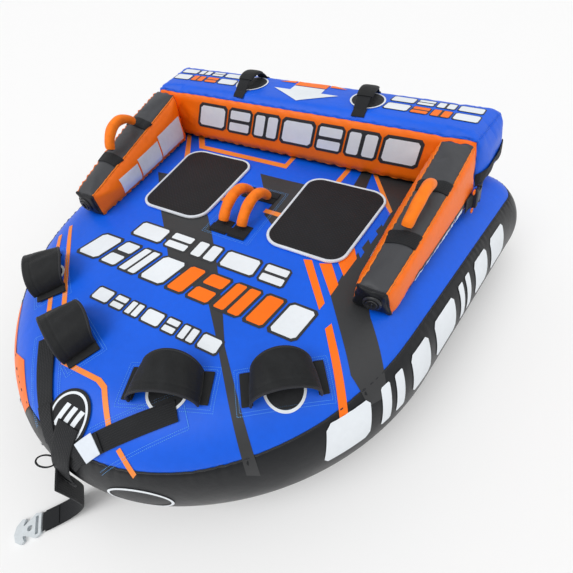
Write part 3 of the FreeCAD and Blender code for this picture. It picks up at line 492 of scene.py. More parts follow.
def neoprene_material(name, colour):
    """Knitted face of neoprene: fine knit ribs over soft creases, with painted shade in the creases and a
    painted highlight on their crests.
    """
    look = Look(name, 0.66, sheen=0.08, specular=0.28)
    creases = look.noise(28.0, 6.0, 0.6)
    # colour follows the creases' bump: painted shade in them and a painted highlight on their crests
    look.colour(creases, colour, (0.3, 0.75), (0.55, 1), (0.8, 1.5))
    look.bump(look.sum("MULTIPLY", look.wave(0.0013, "X"), look.wave(0.0017, "Y")), 0.25, 0.0004)
    look.bump(creases, 0.6, 0.004)
    return look.material


def thread_material(name, colour):
    """Twisted sewing thread: fine slanting ridges, with painted shade in their grooves and a painted
    highlight on their tops.
    """
    look = Look(name, 0.5, sheen=0.3)
    twist = look.wave(0.0009, "DIAGONAL")
    # colour follows the twist's ridges: painted shade in the grooves and a painted highlight on the ridges
    look.colour(twist, colour, (0.1, 0.8), (0.8, 1.1))
    look.bump(twist, 0.4, 0.0003)
    return look.material


def metal_material(name, colour, roughness=0.32):
    """Plated metal with small scratches in its gloss."""
    look = Look(name, roughness, metallic=1.0)
    brushed = look.noise(220.0, 5.0)
    look.colour(brushed, colour, (0.3, 0.8), (0.7, 1.1))
    look.rough(brushed, (0.3, roughness - 0.1), (0.7, roughness + 0.12))
    look.bump(brushed, 0.1, 0.0002)
    return look.material


BLUE, ORANGE = (0.0, 0.108, 0.76), (1.0, 0.175, 0.0)
BLACK, GREY, WHITE = (0.006, 0.007, 0.009), (0.036, 0.037, 0.039), (0.80, 0.84, 0.88)
PALE_BLUE = (0.11, 0.42, 0.93)
M = {
    "blue": coated_fabric("blue_cover", BLUE),
    "orange": coated_fabric("orange_cover", ORANGE),
    "black": coated_fabric("black_cover", BLACK, 0.42, coat=0.04, specular=0.3),
    "grey_cap": coated_fabric("grey_cap", (0.052, 0.054, 0.060), 0.5),
    "print_grey": coated_fabric("print_grey", GREY, 0.45),
    "print_orange": coated_fabric("print_orange", ORANGE),
    "print_pale_orange": coated_fabric("print_pale_orange", (0.93, 0.27, 0.045)),
    "print_white": coated_fabric("print_white", WHITE, spread=0.06),
    "print_edge": coated_fabric("print_edge", (0.030, 0.031, 0.034)),
    "webbing": webbing_material("black_webbing", (0.011, 0.012, 0.014)),
    "orange_cord": webbing_material("orange_cord", ORANGE),
    "binding": webbing_material("white_binding", (0.78, 0.84, 0.92), 0.6, 0.0018),
    "orange_piping": webbing_material("orange_piping", (0.95, 0.20, 0.01), 0.55, 0.0018),
    "blue_piping": webbing_material("blue_piping", BLUE, 0.55, 0.0018),
    "black_piping": webbing_material("black_piping", (0.02, 0.021, 0.024), 0.55, 0.0018),
    "foam": foam_material("orange_foam", (1.0, 0.21, 0.0)),
    "dark_foam": foam_material("dark_foam", (0.022, 0.023, 0.025)),
    "pad": pad_material("seat_foam", (0.010, 0.010, 0.012)),
    "neoprene": neoprene_material("neoprene", (0.010, 0.011, 0.012)),
    "patch": neoprene_material("patch_neoprene", (0.012, 0.013, 0.015)),
    "plastic": moulded_material("black_plastic", (0.018, 0.019, 0.021)),
    "white_plastic": moulded_material("white_plastic", (0.62, 0.67, 0.70), 0.34),
    "thread": thread_material("pale_blue_thread", PALE_BLUE),
    "black_thread": thread_material("black_thread", (0.03, 0.03, 0.035)),
    "label": coated_fabric("blank_label", (0.72, 0.77, 0.84), 0.5, spread=0.10),
    "metal": metal_material("zip_metal", (0.62, 0.63, 0.65)),
    "vinyl": coated_fabric("bladder_vinyl", (0.45, 0.47, 0.50), 0.35),
}


# ---------------------------------------------------------------- hull surface
def outline_arcs():
    """Right half of the hull in plan, nose to rear: two arcs that meet with one tangent, a straight
    side, and the rear corner's arc. Each arc is (centre, radius, start angle, end angle)."""
    normal = np.array([math.cos(SIDE_ANGLE), -math.sin(SIDE_ANGLE)])
    along = np.array([math.sin(SIDE_ANGLE), math.cos(SIDE_ANGLE)])
    corner = np.array([HALF_WIDTH - CORNER, HALF_LENGTH - CORNER])
    side_start = corner + normal * CORNER - along * SIDE_STRAIGHT
    nose, ahead = np.array([0, -HALF_LENGTH]), np.array([1.0, 0])
    chord = side_start - nose
    square = 2 * NOSE_SHARE * (1 - ahead @ along)
    linear = NOSE_SHARE * (chord @ ahead) + chord @ along
    reach = (math.sqrt(linear ** 2 + square * (chord @ chord)) - linear) / square
    near, far = nose + ahead * NOSE_SHARE * reach, side_start - along * reach
    meet = (near + far * NOSE_SHARE) / (1 + NOSE_SHARE)
    step = meet - nose
    nose_radius = step @ step / (2 * step[1])
    nose_centre = nose + np.array([0, nose_radius])
    gap = side_start - nose_centre
    bow_radius = (gap @ gap - nose_radius ** 2) / (2 * (gap @ normal - nose_radius))
    bow_centre = side_start - normal * bow_radius
    meet_angle = math.atan2(meet[1] - nose_centre[1], meet[0])
    return [(nose_centre, nose_radius, -math.pi / 2, meet_angle),
            (bow_centre, bow_radius, meet_angle, -SIDE_ANGLE),
            (corner, CORNER, -SIDE_ANGLE, math.pi / 2)]


ARCS = outline_arcs()


def outline_line():
    """Points, outward directions and run of the whole outline, once round, from the nose to the right."""
    points, normals = [], []
    for centre, radius, start, end in ARCS:
        turn = np.linspace(start, end, max(8, int(radius * (end - start) / 0.004)))
        normal = np.stack([np.cos(turn), np.sin(turn)], -1)
        points.append(centre + radius * normal)
        normals.append(normal)
    right, right_normals = np.concatenate(points), np.concatenate(normals)
    flip = np.array([-1, 1])
    all_points = np.concatenate([right, right[::-1] * flip])
    all_normals = np.concatenate([right_normals, right_normals[::-1] * flip])
    keep = np.concatenate([[True], np.linalg.norm(np.diff(all_points, axis=0), axis=1) > 1e-6])
    all_points, all_normals = all_points[keep], all_normals[keep]
    run = run_of(all_points)
    return all_points, all_normals, run


LINE, LINE_NORMAL, RUN = outline_line()


def pucker(run, from_seam):
    """Small gathers across a seam: ridges 23 and 38 mm apart that die out with distance from it, and
    are a quarter as high above the seam as below it."""
    ridges = np.sin(run * 2 * math.pi / 0.0231) * 0.6 + np.sin(run * 2 * math.pi / 0.0377 + 1.3) * 0.4
    swell = 0.6 + 0.4 * np.sin(run * 2 * math.pi / 0.31)
    return 0.0019 * ridges * swell * np.exp(-np.abs(from_seam) / 0.016) * np.where(from_seam > 0, 0.25, 1)


def seam_angle(run):
    """Angle of the upper seam: lower at the nose, and level from the middle of each side."""
    run = np.mod(run, RUN[-1])
    return np.interp(np.minimum(run, RUN[-1] - run), SEAM_RUN, SEAM_HEIGHT) / ROUND


def rim_point(run, angle, lift=0.0):
    """Point on the hull's rounded edge: so far round the outline, at an angle above its middle.

    In plan it lies ROUND times (1 - cos angle) inside the outline; its height is MIDDLE times
    (1 + sin angle). Gathers and the seam's groove are added along the normal.
    """
    run = np.mod(run, RUN[-1])
    plan, normal = read(run, RUN, LINE), read(run, RUN, LINE_NORMAL)
    inset = ROUND * (1 - np.cos(angle))
    for seam in (seam_angle(run), BASE_ANGLE):
        away = (angle - seam) * ROUND
        lift = lift + pucker(run, away) - 0.0016 * np.exp(-(away / 0.0035) ** 2)
    up, out = np.sin(angle), np.cos(angle)
    flat = plan - normal * np.asarray(inset)[..., None] + normal * np.asarray(out * lift)[..., None]
    return np.concatenate([flat, (MIDDLE + MIDDLE * up + up * lift)[..., None]], -1)


def deck_inset(x, y):
    """Distance from a point on deck to the outline: the least over the arcs, the side and the rear."""
    x = np.abs(x)
    best = HALF_LENGTH - y
    for centre, radius, start, end in ARCS:
        angle = np.arctan2(y - centre[1], x - centre[0])
        away = radius - np.hypot(x - centre[0], y - centre[1])
        best = np.where((angle >= start) & (angle <= end), np.minimum(best, away), best)
    corner = ARCS[2][0]
    normal = np.array([math.cos(SIDE_ANGLE), -math.sin(SIDE_ANGLE)])
    side = CORNER - ((x - corner[0]) * normal[0] + (y - corner[1]) * normal[1])
    return np.minimum(best, np.maximum(side, 0))


def deck_height(x, y):
    """Height of the deck panel: the rounded edge, then flat with a slight crown and soft swells."""
    inset = deck_inset(x, y)
    angle = np.arccos(np.clip(1 - inset / ROUND, 0, 1))
    z = MIDDLE + MIDDLE * np.sin(angle)
    swell = 0.0006 * np.sin(x * 21 + 1) * np.sin(y * 17) + CROWN * smoothstep(0.10, 0.42, inset)
    return z + swell * smoothstep(0.08, 0.2, inset)


def deck_point(x, y, lift=0.0):
    """Point and outward direction on the deck panel above a place in plan."""
    x, y = np.asarray(x, float), np.asarray(y, float)
    step = 0.002
    z = deck_height(x, y)
    slope_x = (deck_height(x + step, y) - deck_height(x - step, y)) / (2 * step)
    slope_y = (deck_height(x, y + step) - deck_height(x, y - step)) / (2 * step)
    normal = unit(np.stack([-slope_x, -slope_y, np.ones_like(z)], -1))
    return np.stack([x, y, z], -1) + normal * np.asarray(lift)[..., None], normal


def build_hull():
    """Deck panel, side band and bottom panel: each an outer skin, made as thick as its cloth."""
    around = np.linspace(0, RUN[-1], 881)[:-1]
    band = Build()
    run, share = np.meshgrid(around, np.linspace(0, 1, 64), indexing="xy")
    angle = BASE_ANGLE + share * (seam_angle(run) - BASE_ANGLE)
    band.grid(rim_point(run, angle), wrap_cols=True, uv=np.stack([run, angle * ROUND], -1))
    pieces = {"side_band": (band, "black", "cover_side", "black_nylon")}

    deck = Build()
    run, share = np.meshgrid(around, np.linspace(0, 1, 34), indexing="xy")
    angle = seam_angle(run) + share * (math.pi / 2 - seam_angle(run))
    rim = rim_point(run, angle)
    flat_x, flat_y = rim[-1, :, 0], rim[-1, :, 1]
    shrink = 1 - np.linspace(0, 1, 60)[1:] ** 0.9
    x = flat_x[None] * shrink[:, None]
    y = (flat_y[None] - 0.05) * shrink[:, None] + 0.05
    rim_z = deck_height(rim[..., 0], rim[..., 1])
    blend = smoothstep(0.9, 1.35, angle)
    rim[..., 2] = rim[..., 2] * (1 - blend) + rim_z * blend
    inner = np.stack([x, y, deck_height(x, y)], -1)
    deck.grid(np.concatenate([rim, inner]), wrap_cols=True)
    pieces["deck_panel"] = (deck, "blue", "cover_top", "blue_nylon")

    bottom = Build()
    angles = np.linspace(-math.pi / 2, BASE_ANGLE, 26)
    run, angle = np.meshgrid(around, angles, indexing="xy")
    rim = rim_point(run, angle)
    shrink = np.linspace(0, 1, 20)[:-1]
    x = rim[0, :, 0][None] * shrink[:, None]
    y = (rim[0, :, 1][None] - 0.05) * shrink[:, None] + 0.05
    inner = np.stack([x, y, np.zeros_like(x)], -1)
    bottom.grid(np.concatenate([inner, rim]), wrap_cols=True)
    pieces["bottom_panel"] = (bottom, "black", "cover_bottom", "black_nylon")

    for name, (build, material, node, slot) in pieces.items():
        obj = build.mesh(name, M[material], weld=2e-5)
        cloth = obj.modifiers.new("cloth", "SOLIDIFY")
        cloth.thickness = 0.0012
        cloth.offset = -1
        fit(obj, slot, "hull", node)

    # a narrow piping in the top seam and in the seam round the base
    seams = Build()
    run = np.linspace(0, RUN[-1], 1200)[:-1]
    for seam in (seam_angle(run), np.full_like(run, BASE_ANGLE)):
        centre = rim_point(run, seam, 0.0008)
        out = rim_point(run, seam, 0.01) - centre
        add_strap(seams, centre, out, 0.0042, 0.0028, power=2.2, sides=8, closed=True)
    fit(seams.mesh("hull_seam_piping", M["black_piping"]), "black_nylon", "hull")


# ---------------------------------------------------------------- printed shapes
def ruled(first, second, step=0.007):
    """Places between two lines that have the same corners: straight from each to its partner."""
    first, second = np.asarray(first, float), np.asarray(second, float)
    longest = np.maximum(*(np.linalg.norm(np.diff(line, axis=0), axis=1) for line in (first, second)))
    parts = [np.linspace(0, 1, max(2, int(math.ceil(far / step)) + 1)) + k for k, far in enumerate(longest)]
    where = np.unique(np.concatenate(parts).round(9))
    corner = np.arange(len(first))
    a, b = read(where, corner, first), read(where, corner, second)
    width = np.linalg.norm(a - b, axis=1).max()
    share = np.linspace(0, 1, max(2, int(math.ceil(width / step)) + 1))[None, :, None]
    return a[:, None] * (1 - share) + b[:, None] * share


def add_print(build, surface, first, second, lift, slot=0):
    """A printed shape between two lines, laid on a surface a hair above it, facing out."""
    flat = ruled(first, second)
    points = surface(flat[..., 0], flat[..., 1], lift)
    away = surface(flat[..., 0], flat[..., 1], lift + 0.01) - points
    normal = np.cross(points[1:, :-1] - points[:-1, :-1], points[:-1, 1:] - points[:-1, :-1])
    build.grid(points, flip=bool((normal * away[:-1, :-1]).sum() > 0), slot=slot)


def on_deck(x, y, lift):
    return deck_point(x, y, lift)[0]


def slanted(x0, x1, y0, y1, slant):
    """The two side lines of a block that leans by slant for each unit of height."""
    lean = slant * (y1 - y0)
    return [(x0, y0), (x0 + lean, y1)], [(x1, y0), (x1 + lean, y1)]


def cut_block(x0, x1, y0, y1, slant):
    """The two side lines of a leaning block whose corners are cut off."""
    cut = 0.12 * min(x1 - x0, y1 - y0)
    rows = np.array([y0, y0 + cut, y1 - cut, y1])
    lean = slant * (rows - y0)
    inset = np.array([cut, 0, 0, cut])
    return np.stack([x0 + inset + lean, rows], -1), np.stack([x1 - inset + lean, rows], -1)


def block_row(prints, surface, starts, widths, low, high, slant, colours, edge=0.007):
    """A row of leaning blocks with dark edges; every second one is split by a leaning gap."""
    tall = high - low
    for k, (start, width) in enumerate(zip(starts, widths)):
        colour = colours[k % len(colours)]
        lean = slant * edge
        outer = cut_block(start - edge - lean, start + width + edge - lean, low - edge, high + edge, slant)
        add_print(prints["edge"], surface, *outer, LAYER["edge"])
        kind = k % 3
        if kind == 0:
            parts = [(start, start + width, low, high)]
        elif kind == 1:
            parts = [(start, start + width, low, low + 0.42 * tall),
                     (start, start + width, low + 0.58 * tall, high)]
        else:
            parts = [(start, start + 0.42 * width, low, high),
                     (start + 0.56 * width, start + width, low, high)]
        for x0, x1, y0, y1 in parts:
            shift = slant * (y0 - low)
            block = cut_block(x0 + shift, x1 + shift, y0, y1, slant)
            add_print(prints[colour], surface, *block, LAYER["white"])


def spread_blocks(start, end, count, gap, uneven=0.25):
    """Starts and widths of blocks that fill a length, wide and narrow in turn."""
    share = 1 + uneven * np.cos(np.arange(count) * 2.2)
    widths = share / share.sum() * (end - start - gap * (count - 1))
    starts = start + np.concatenate([[0], np.cumsum(widths[:-1] + gap)])
    return starts, widths


GREY_SHAPES = [
    # from between the pads to the right-hand pad
    ([(-0.070, 0.280), (0.002, 0.180)], [(0.140, 0.280), (0.140, 0.180)]),
    ([(0.060, 0.182), (0.060, 0.070)], [(0.140, 0.182), (0.140, 0.010)]),
    # the long band from the left-hand armrest to the right of the nose
    ([(-0.445, 0.137), (-0.270, -0.050), (-0.190, -0.125), (-0.090, -0.225), (0.100, -0.300),
      (0.165, -0.365), (0.362, -0.575)],
     [(-0.385, 0.143), (-0.125, 0.010), (-0.050, -0.070), (0.045, -0.180), (0.150, -0.310),
      (0.205, -0.385), (0.386, -0.563)]),
    # the band down the right-hand side
    ([(0.325, 0.455), (0.432, 0.232), (0.402, 0.100), (0.378, -0.040), (0.372, -0.150), (0.484, -0.322)],
     [(0.500, 0.455), (0.500, 0.250), (0.470, 0.050), (0.445, -0.090), (0.482, -0.172), (0.566, -0.300)]),
    ([(0.484, -0.322), (0.540, -0.352)], [(0.566, -0.300), (0.572, -0.308)]),
    ([(0.275, 0.470), (0.275, 0.310)], [(0.312, 0.470), (0.322, 0.310)]),
]
BLUE_GAPS = [
    ([(0.400, 0.280), (0.398, 0.200)], [(0.430, 0.235), (0.425, 0.165)]),
    ([(0.398, 0.150), (0.395, 0.100)], [(0.420, 0.125), (0.412, 0.075)]),
    ([(0.385, 0.058), (0.390, 0.026)], [(0.405, 0.035), (0.402, 0.008)]),
]
ORANGE_SHAPES = [
    ([(0.352, -0.035), (0.372, 0.045)], [(0.381, -0.075), (0.393, 0.002)]),
    ([(0.304, -0.058), (0.372, -0.150)], [(0.336, -0.045), (0.378, -0.108)]),
    ([(0.258, -0.062), (0.362, -0.203)], [(0.281, -0.055), (0.367, -0.178)]),
    ([(0.394, -0.246), (0.496, -0.412)], [(0.403, -0.226), (0.512, -0.400)]),
    # the patch on the left of the nose
    ([(-0.405, -0.492), (-0.290, -0.600), (-0.225, -0.604), (-0.140, -0.672)],
     [(-0.410, -0.505), (-0.327, -0.596), (-0.268, -0.636), (-0.165, -0.690)]),
]
PALE_ORANGE_SHAPES = [
    # the frame behind the left-hand pad
    ([(-0.490, 0.462), (-0.405, 0.352), (0.005, 0.350), (0.006, 0.480)],
     [(-0.462, 0.468), (-0.396, 0.380), (-0.014, 0.378), (-0.013, 0.480)]),
    ([(-0.535, 0.440), (-0.405, 0.248)], [(-0.510, 0.436), (-0.390, 0.266)]),
    ([(0.198, 0.472), (0.216, 0.437), (0.205, 0.312)], [(0.222, 0.472), (0.235, 0.437), (0.224, 0.312)]),
    ([(0.312, 0.452), (0.428, 0.226)], [(0.322, 0.464), (0.434, 0.250)]),
    ([(-0.130, 0.078), (-0.078, 0.078)], [(-0.130, 0.098), (-0.078, 0.098)]),
    ([(0.052, 0.078), (0.122, 0.078)], [(0.052, 0.098), (0.122, 0.098)]),
    # lines towards the nose
    ([(-0.502, -0.232), (-0.212, -0.492)], [(-0.494, -0.224), (-0.204, -0.483)]),
    ([(-0.502, -0.276), (-0.204, -0.548), (-0.062, -0.664)],
     [(-0.495, -0.266), (-0.196, -0.540), (-0.056, -0.657)]),
    ([(-0.132, -0.556), (-0.108, -0.575), (0.000, -0.571), (0.022, -0.577), (0.092, -0.640)],
     [(-0.125, -0.547), (-0.104, -0.564), (0.003, -0.560), (0.028, -0.567), (0.100, -0.632)]),
    ([(0.118, -0.652), (0.165, -0.676)], [(0.124, -0.644), (0.170, -0.667)]),
]


# material and slot of each kind of print
PRINT_FINISH = {"grey": ("print_grey", "black_nylon"), "orange": ("print_orange", "orange_nylon"),
                "blue": ("blue", "blue_nylon"), "pale": ("print_pale_orange", "orange_nylon"),
                "white": ("print_white", "white_binding"), "edge": ("print_edge", "black_nylon"),
                "label": ("label", "white_binding")}


def finish_prints(prints, prefix, body, suffix=""):
    for kind, build in prints.items():
        material, slot = PRINT_FINISH[kind]
        fit(build.mesh(prefix + kind + suffix, M[material]), slot, body)


def build_prints():
    """Everything printed on the deck and on the side band."""
    prints = {kind: Build() for kind in ("grey", "orange", "blue", "pale", "white", "edge")}
    for kind, shapes in (("grey", GREY_SHAPES), ("blue", BLUE_GAPS), ("orange", ORANGE_SHAPES),
                         ("pale", PALE_ORANGE_SHAPES)):
        for first, second in shapes:
            add_print(prints[kind], on_deck, first, second, LAYER[kind])
    block_row(prints, on_deck, *spread_blocks(-0.275, 0.245, 5, 0.022), -0.178, -0.120, 0.0, ["white"])
    starts, widths = spread_blocks(-0.372, 0.340, 9, 0.020)
    for part, colour in ((slice(0, 4), "white"), (slice(4, 8), "orange"), (slice(8, 9), "white")):
        block_row(prints, on_deck, starts[part], widths[part], -0.304, -0.214, 0.22, [colour])
    block_row(prints, on_deck, *spread_blocks(-0.195, 0.195, 7, 0.014), -0.411, -0.376, 0.0, ["white"], 0.005)

    for side in (1, -1):
        def on_rim(run, height, lift, side=side):
            return rim_point(side * run, height / ROUND, lift)

        low, high, edge, lean = 0.052, 0.146, 0.006, 0.30
        for k, (start, width) in enumerate(zip(*spread_blocks(0.575, 1.500, 7, 0.030))):
            parts = [(start, start + width)]
            if k % 3 == 1:
                parts = [(start, start + 0.42 * width), (start + 0.58 * width, start + width)]
            for x0, x1 in parts:
                add_print(prints["white"], on_rim, *cut_block(x0, x1 - edge, low, high, lean), LAYER["white"])
        # the oval ring low on each side of the nose
        ring = np.linspace(0, 2 * math.pi, 49)
        outer, inner = (np.stack([0.180 + (0.074 - less) * np.cos(ring),
                                  0.047 + (0.040 - less) * np.sin(ring)], -1) for less in (0, 0.006))
        add_print(prints["white"], on_rim, outer, inner, LAYER["white"])
    finish_prints(prints, "hull_print_", "hull")


# ---------------------------------------------------------------- cushions
def settle(obj, start, cap, pressure, floor=None):
    """Blows a closed cloth up for a few frames, and limits how far each point moves from where it began."""
    scene = bpy.context.scene
    cloth = obj.modifiers.new("inflate", "CLOTH")
    cloth.settings.quality = 4
    cloth.settings.mass = 0.2
    cloth.settings.tension_stiffness = 12
    cloth.settings.compression_stiffness = 12
    cloth.settings.shear_stiffness = 4
    cloth.settings.bending_stiffness = 0.6
    cloth.settings.use_pressure = True
    cloth.settings.uniform_pressure_force = pressure
    cloth.settings.effector_weights.gravity = 0
    cloth.collision_settings.use_collision = False
    cloth.collision_settings.use_self_collision = False
    cloth.point_cache.frame_start, cloth.point_cache.frame_end = 1, SETTLE_FRAMES
    for number in range(1, SETTLE_FRAMES + 1):
        scene.frame_set(number)
    shown = obj.evaluated_get(bpy.context.evaluated_depsgraph_get())
    points = np.zeros(len(obj.data.vertices) * 3)
    shown.data.vertices.foreach_get("co", points)
    points = points.reshape(-1, 3)
    obj.modifiers.remove(cloth)
    scene.frame_set(1)
    moved = points - start
    far = np.linalg.norm(moved, axis=-1, keepdims=True)
    points = start + moved * np.minimum(1, cap / np.maximum(far, 1e-9))
    if floor is not None:
        points[:, 2] = np.maximum(points[:, 2], floor)
    obj.data.vertices.foreach_set("co", points.astype(np.float32).ravel())
    obj.data.update()
    return points


class Cushion:
    """An inflated block between two four-cornered sections, sewn from one panel a side.

    A point of the block is the corners' weighted mean at its place along, across and up, after the
    place has been pushed out of a smaller inner box so that edges are round. Corners are given as
    corner[along][across][up].
    """

    def __init__(self, name, corners, size, cells, rounding, inset, materials, crown, cap, pressure, floor):
        self.ids, lattice, panels = skin(*cells)
        size = np.array(size, float)
        place = lattice * size
        low, high = inset + np.zeros(3), size - inset
        place = np.clip(place, low, high)
        core = np.clip(place, low + rounding, high - rounding)
        away = place - core
        far = np.linalg.norm(away, axis=-1, keepdims=True)
        place = np.where(far > 1e-9, core + rounding * away / np.maximum(far, 1e-9), place)
        share = place / size
        corners = np.array(corners, float)
        points = 0
        for i in (0, 1):
            for j in (0, 1):
                for k in (0, 1):
                    weight = np.prod(np.where(np.array([i, j, k]), share, 1 - share), axis=-1)
                    points = points + weight[:, None] * corners[i, j, k]
        points = points + self.crowned(share, corners, crown)
        mesh = bpy.data.meshes.new(name)
        blocks = [grid_faces(grid, flip) for grid, flip in panels]
        slots = [np.full(len(block), number) for number, block in enumerate(blocks)]
        faces = np.concatenate(blocks)
        if mirrored(corners):
            faces = faces[:, ::-1]
        mesh.from_pydata(points.tolist(), [], faces.tolist())
        mesh.polygons.foreach_set("use_smooth", np.full(len(faces), True))
        used = list(dict.fromkeys(materials))
        numbers = np.array([used.index(material) for material in materials], np.int32)
        mesh.polygons.foreach_set("material_index", numbers[np.concatenate(slots)])
        for material in used:
            mesh.materials.append(M[material])
        self.obj = place_object(name, mesh)
        self.points = settle(self.obj, points, cap, pressure, floor)
        # a shallow groove along every seam, with small gathers beside it
        self.normals = self.vertex_normals(faces)
        self.finish_seams(lattice, size)

    @staticmethod
    def crowned(share, corners, crown):
        """Each panel swells outwards: by its crown times a dome that is nought at the panel's seams."""
        shift = 0
        across = 2 * share - 1
        dome = (1 - np.clip(np.abs(across), 0, 1) ** 2.5) ** 0.8
        for k, direction in enumerate(directions_of(corners)):
            others = [m for m in range(3) if m != k]
            size = crown[k] * np.sign(across[:, k]) * np.abs(across[:, k]) ** 6
            size = size * dome[:, others[0]] * dome[:, others[1]]
            if k == 2:
                size = np.maximum(size, 0)
            shift = shift + size[:, None] * unit(direction)
        return shift

    def lining(self, name, node, body):
        """The inflated bladder: the same form a little inside the cover."""
        mesh = self.obj.data.copy()
        mesh.name = name
        inside = self.points - self.normals * 0.004
        mesh.vertices.foreach_set("co", inside.astype(np.float32).ravel())
        mesh.materials.clear()
        mesh.materials.append(M["vinyl"])
        mesh.polygons.foreach_set("material_index", np.zeros(len(mesh.polygons), np.int32))
        fit(place_object(name, mesh), "vinyl", body, node)

    def vertex_normals(self, faces):
        p = self.points[faces]
        normal = np.cross(p[:, 2] - p[:, 0], p[:, 3] - p[:, 1])
        total = np.zeros_like(self.points)
        for corner in range(4):
            np.add.at(total, faces[:, corner], normal)
        return unit(total)

    def finish_seams(self, lattice, size):
        near = np.sort(np.minimum(lattice, 1 - lattice) * size, axis=-1)[:, 1]
        run = self.points @ (1.0, 1.7, 1.3)
        gathers = np.sin(run * 2 * math.pi / 0.041) + 0.6 * np.sin(run * 2 * math.pi / 0.067 + 0.8)
        lift = 0.0019 * gathers * np.exp(-near / 0.022) - 0.0022 * np.exp(-(near / 0.006) ** 2)
        self.points = self.points + self.normals * lift[:, None]
        self.obj.data.vertices.foreach_set("co", self.points.astype(np.float32).ravel())
        self.obj.data.update()

    def panel(self, number):
        """Points and outward directions of a panel as a grid: 0 and 1 ends, 2 and 3 sides, 4 base, 5 top."""
        grid = [self.ids[0], self.ids[-1], self.ids[:, 0], self.ids[:, -1], self.ids[:, :, 0],
                self.ids[:, :, -1]][number]
        return self.points[grid], self.normals[grid]

    def at(self, number, u, v, lift=0.0):
        """Point on a panel at shares u and v of its grid, lifted off it."""
        points, normals = self.panel(number)
        rows, cols = points.shape[:2]
        r, c = np.clip(u, 0, 1) * (rows - 1), np.clip(v, 0, 1) * (cols - 1)
        r0, c0 = np.minimum(r.astype(int), rows - 2), np.minimum(c.astype(int), cols - 2)
        fr, fc = (r - r0)[..., None], (c - c0)[..., None]

        def mix(grid):
            return ((grid[r0, c0] * (1 - fr) + grid[r0 + 1, c0] * fr) * (1 - fc)
                    + (grid[r0, c0 + 1] * (1 - fr) + grid[r0 + 1, c0 + 1] * fr) * fc)

        normal = unit(mix(normals))
        return mix(points) + normal * np.asarray(lift)[..., None], normal

    def seam(self, i=None, j=None, k=None):
        """Points and directions along one edge of the block; two of the three places are given."""
        index = tuple(slice(None) if v is None else v for v in (i, j, k))
        line = self.ids[index]
        return self.points[line], self.normals[line]


def directions_of(corners):
    """A block's directions along, across and up, from its first corner."""
    first = corners[0, 0, 0]
    return corners[1, 0, 0] - first, corners[0, 1, 0] - first, corners[0, 0, 1] - first


def mirrored(corners):
    """True if the block's three directions make a left-handed set."""
    along, across, up = directions_of(corners)
    return bool(np.dot(np.cross(along, across), up) < 0)


def pipe_cushion(cushion, long_slots, end_slot=1, width=0.0055, out=0.0008):
    """Piping in the four long seams, front top first, and in the seams round both ends."""
    trim = Build()
    seams = [(None, j, k, slot) for (j, k), slot in zip(((0, -1), (-1, -1), (0, 0), (-1, 0)), long_slots)]
    for i in (0, -1):
        seams += [(i, j, k, end_slot) for j, k in ((0, None), (-1, None), (None, 0), (None, -1))]
    for i, j, k, slot in seams:
        points, normals = cushion.seam(i, j, k)
        add_strap(trim, points + normals * out, normals, width, width, slot, sides=8, power=2.0)
    return trim


BACK_LOW, BACK_HIGH = (np.array(v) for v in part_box("backrest_cover"))
BACK_LEAN, BACK_TAPER = 0.062, 0.060
BACK_HALF = HALF_WIDTH - 0.130


def backrest_corners():
    """Corner places of the backrest: longer at the base than on top, and at the rear than in front."""
    corner = np.zeros((2, 2, 2, 3))
    for i, side in enumerate((-1, 1)):
        for j, y in enumerate((BACK_LOW[1], BACK_HIGH[1])):
            for k, z in enumerate((BACK_LOW[2], BACK_HIGH[2])):
                half = BACK_HALF - (BACK_TAPER if j == 0 else 0) - (BACK_LEAN if k else 0)
                corner[i, j, k] = (side * half, y, z)
    return corner


def top_of(cushion):
    """The backrest's top panel as a surface over places in plan."""
    def on_top(x, y, lift):
        share = (y - BACK_LOW[1]) / (BACK_HIGH[1] - BACK_LOW[1])
        wide = BACK_HALF - BACK_LEAN - BACK_TAPER * (BACK_HIGH[1] - y) / (BACK_HIGH[1] - BACK_LOW[1])
        return cushion.at(5, 0.5 + x / (2 * wide), share, lift)[0]

    return on_top


